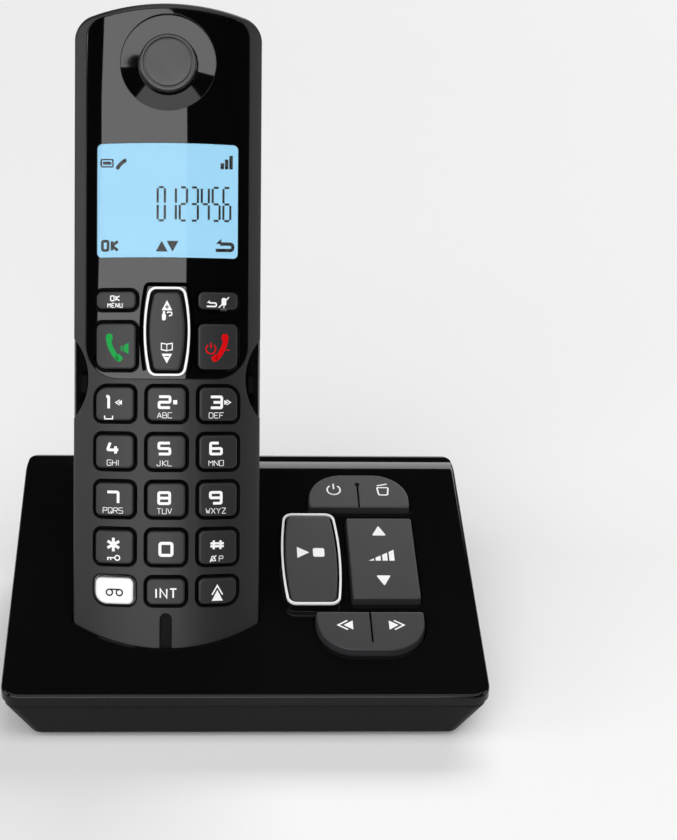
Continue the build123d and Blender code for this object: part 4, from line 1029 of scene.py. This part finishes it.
class PHONE_OT_stage(bpy.types.Operator):
    """Pale floor, soft studio lights, white surroundings and the camera"""

    bl_idname = "phone.stage"
    bl_label = "Stage"

    def execute(self, context):
        scene = context.scene
        scene.view_settings.view_transform = "Standard"
        self.lay_floor()
        self.surround(scene)
        self.stand_flags()
        self.hang_softbox(scene, "key_light", (-0.9, -1.75, 1.0), (-0.9, 0.0, 1.0), 2.55, 1.16, 3.4, -6)
        self.hang_softbox(scene, "top_light", (0.0, -1.1, 2.3), (0.0, -1.1, 0.0), 3.4, 2.2, 1.6)
        self.hang_softbox(scene, "back_light", (0.75, 1.5, 1.55), (0.75, 0.0, 1.55), 1.8, 1.17, 5.4)
        self.hang_softbox(scene, "left_light", (-1.9, -0.45, 0.7), (0.0, 0.0, 0.1), 0.9, 1.0, 3.0)
        self.hang_softbox(scene, "right_light", (1.9, -0.45, 0.7), (0.0, 0.0, 0.1), 0.9, 1.0, 2.4)
        self.set_camera(scene)
        return {"FINISHED"}

    def lay_floor(self):
        """A large pale floor under the feet."""
        form = bmesh.new()
        bmesh.ops.create_grid(form, x_segments=1, y_segments=1, size=STUDIO_SPAN / 2)
        floor = place_mesh("floor", form, pale_floor("pale_floor", (0.92, 0.92, 0.92)))

    def surround(self, scene):
        """White past the floor, behind dark flags that keep the polished black parts black."""
        world = bpy.data.worlds.new("studio")
        scene.world = world
        world.use_nodes = True
        tree = world.node_tree
        tree.nodes.clear()
        seen = background_rays(tree)
        dim = add_node(tree, "ShaderNodeBackground", {"Color": (0.5, 0.5, 0.5, 1), "Strength": 0.06})
        white = add_node(tree, "ShaderNodeBackground", {"Color": (1, 1, 1, 1), "Strength": 1.0})
        mixed = add_node(tree, "ShaderNodeMixShader", {"Fac": seen})
        tree.links.new(dim.outputs["Background"], mixed.inputs[1])
        tree.links.new(white.outputs["Background"], mixed.inputs[2])
        add_node(tree, "ShaderNodeOutputWorld", {"Surface": mixed.outputs["Shader"]})

    def stand_flags(self):
        """Dark cloth on four sides and above, out of the camera's sight, as gloss is lit in a studio."""
        form = bmesh.new()
        bmesh.ops.create_cube(form, size=1.0)
        form.faces.ensure_lookup_table()
        bmesh.ops.delete(form, geom=[f for f in form.faces if f.normal.z < -0.5], context="FACES")
        for corner in form.verts:
            x, y, z = corner.co
            corner.co = (x * STUDIO_SPAN, y * STUDIO_SPAN, (z + 0.5) * STUDIO_HEIGHT)
        flags = place_mesh("dark_flags", form, soft_rubber("black_flag_cloth", (0.02, 0.02, 0.02)))
        flags.visible_camera = False

    def hang_softbox(self, scene, name, place, target, width, height, radiance, roll=0.0):
        """A rectangular light of even brightness, facing a target and rolled by degrees."""
        light = bpy.data.lights.new(name, "AREA")
        light.shape = "RECTANGLE"
        light.size = width
        light.size_y = height
        light.energy = radiance * pi * width * height
        lamp = bpy.data.objects.new(name, light)
        lamp.location = place
        aim = (Vector(target) - Vector(place)).to_track_quat("-Z", "Y")
        lamp.rotation_euler = (aim @ Quaternion((0, 0, 1), radians(roll))).to_euler()
        scene.collection.objects.link(lamp)

    def set_camera(self, scene):
        """The photograph's view: in front, above and slightly left of the middle."""
        pitch, yaw, roll = radians(25.254), radians(2.158), radians(-1.192)
        focal_pixels, image_width, image_height, optical_x = 1613.1, 677, 840, 250
        camera = bpy.data.cameras.new("camera")
        camera.sensor_width = 36.0
        camera.lens = focal_pixels * camera.sensor_width / image_height
        camera.shift_x = (image_width / 2 - optical_x) / image_height
        camera.clip_start = 0.01
        holder = bpy.data.objects.new("camera", camera)
        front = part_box("base_top_cover")[0][1]
        holder.location = (-0.01292, front - 0.32568, 0.24211)
        turn = Euler((0, 0, -yaw)).to_matrix() @ Euler((pi / 2 - pitch, 0, 0)).to_matrix()
        holder.rotation_euler = (turn @ Euler((0, 0, -roll)).to_matrix()).to_euler()
        scene.collection.objects.link(holder)
        scene.camera = holder


class PHONE_PT_panel(bpy.types.Panel):
    """Sizes, colours and steps of the phone"""

    bl_label = "Phone"
    bl_idname = "PHONE_PT_panel"
    bl_space_type = "VIEW_3D"
    bl_region_type = "UI"
    bl_category = "Phone"

    def draw(self, context):
        for group in settings():
            box = self.layout.box()
            for name in group.__annotations__:
                box.prop(group, name)
        for step in STEPS:
            self.layout.operator(step.bl_idname)


STEPS = (
    PHONE_OT_cases,
    PHONE_OT_panel,
    PHONE_OT_display,
    PHONE_OT_keypad,
    PHONE_OT_function_keys,
    PHONE_OT_base_shell,
    PHONE_OT_base_keys,
    PHONE_OT_inside,
    PHONE_OT_stage,
)
CLASSES = (PhoneColours, PhoneSizes, *STEPS, PHONE_PT_panel)


def register():
    for kind in CLASSES:
        bpy.utils.register_class(kind)
    bpy.types.Scene.phone_colours = PointerProperty(type=PhoneColours)
    bpy.types.Scene.phone_sizes = PointerProperty(type=PhoneSizes)


def unregister():
    del bpy.types.Scene.phone_sizes
    del bpy.types.Scene.phone_colours
    for kind in reversed(CLASSES):
        bpy.utils.unregister_class(kind)


def main():
    """Dresses the phone and sets the stage."""
    register()
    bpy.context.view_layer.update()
    for step in STEPS:
        group, action = step.bl_idname.split(".")
        getattr(getattr(bpy.ops, group), action)()


if __name__ == "__main__":
    main()
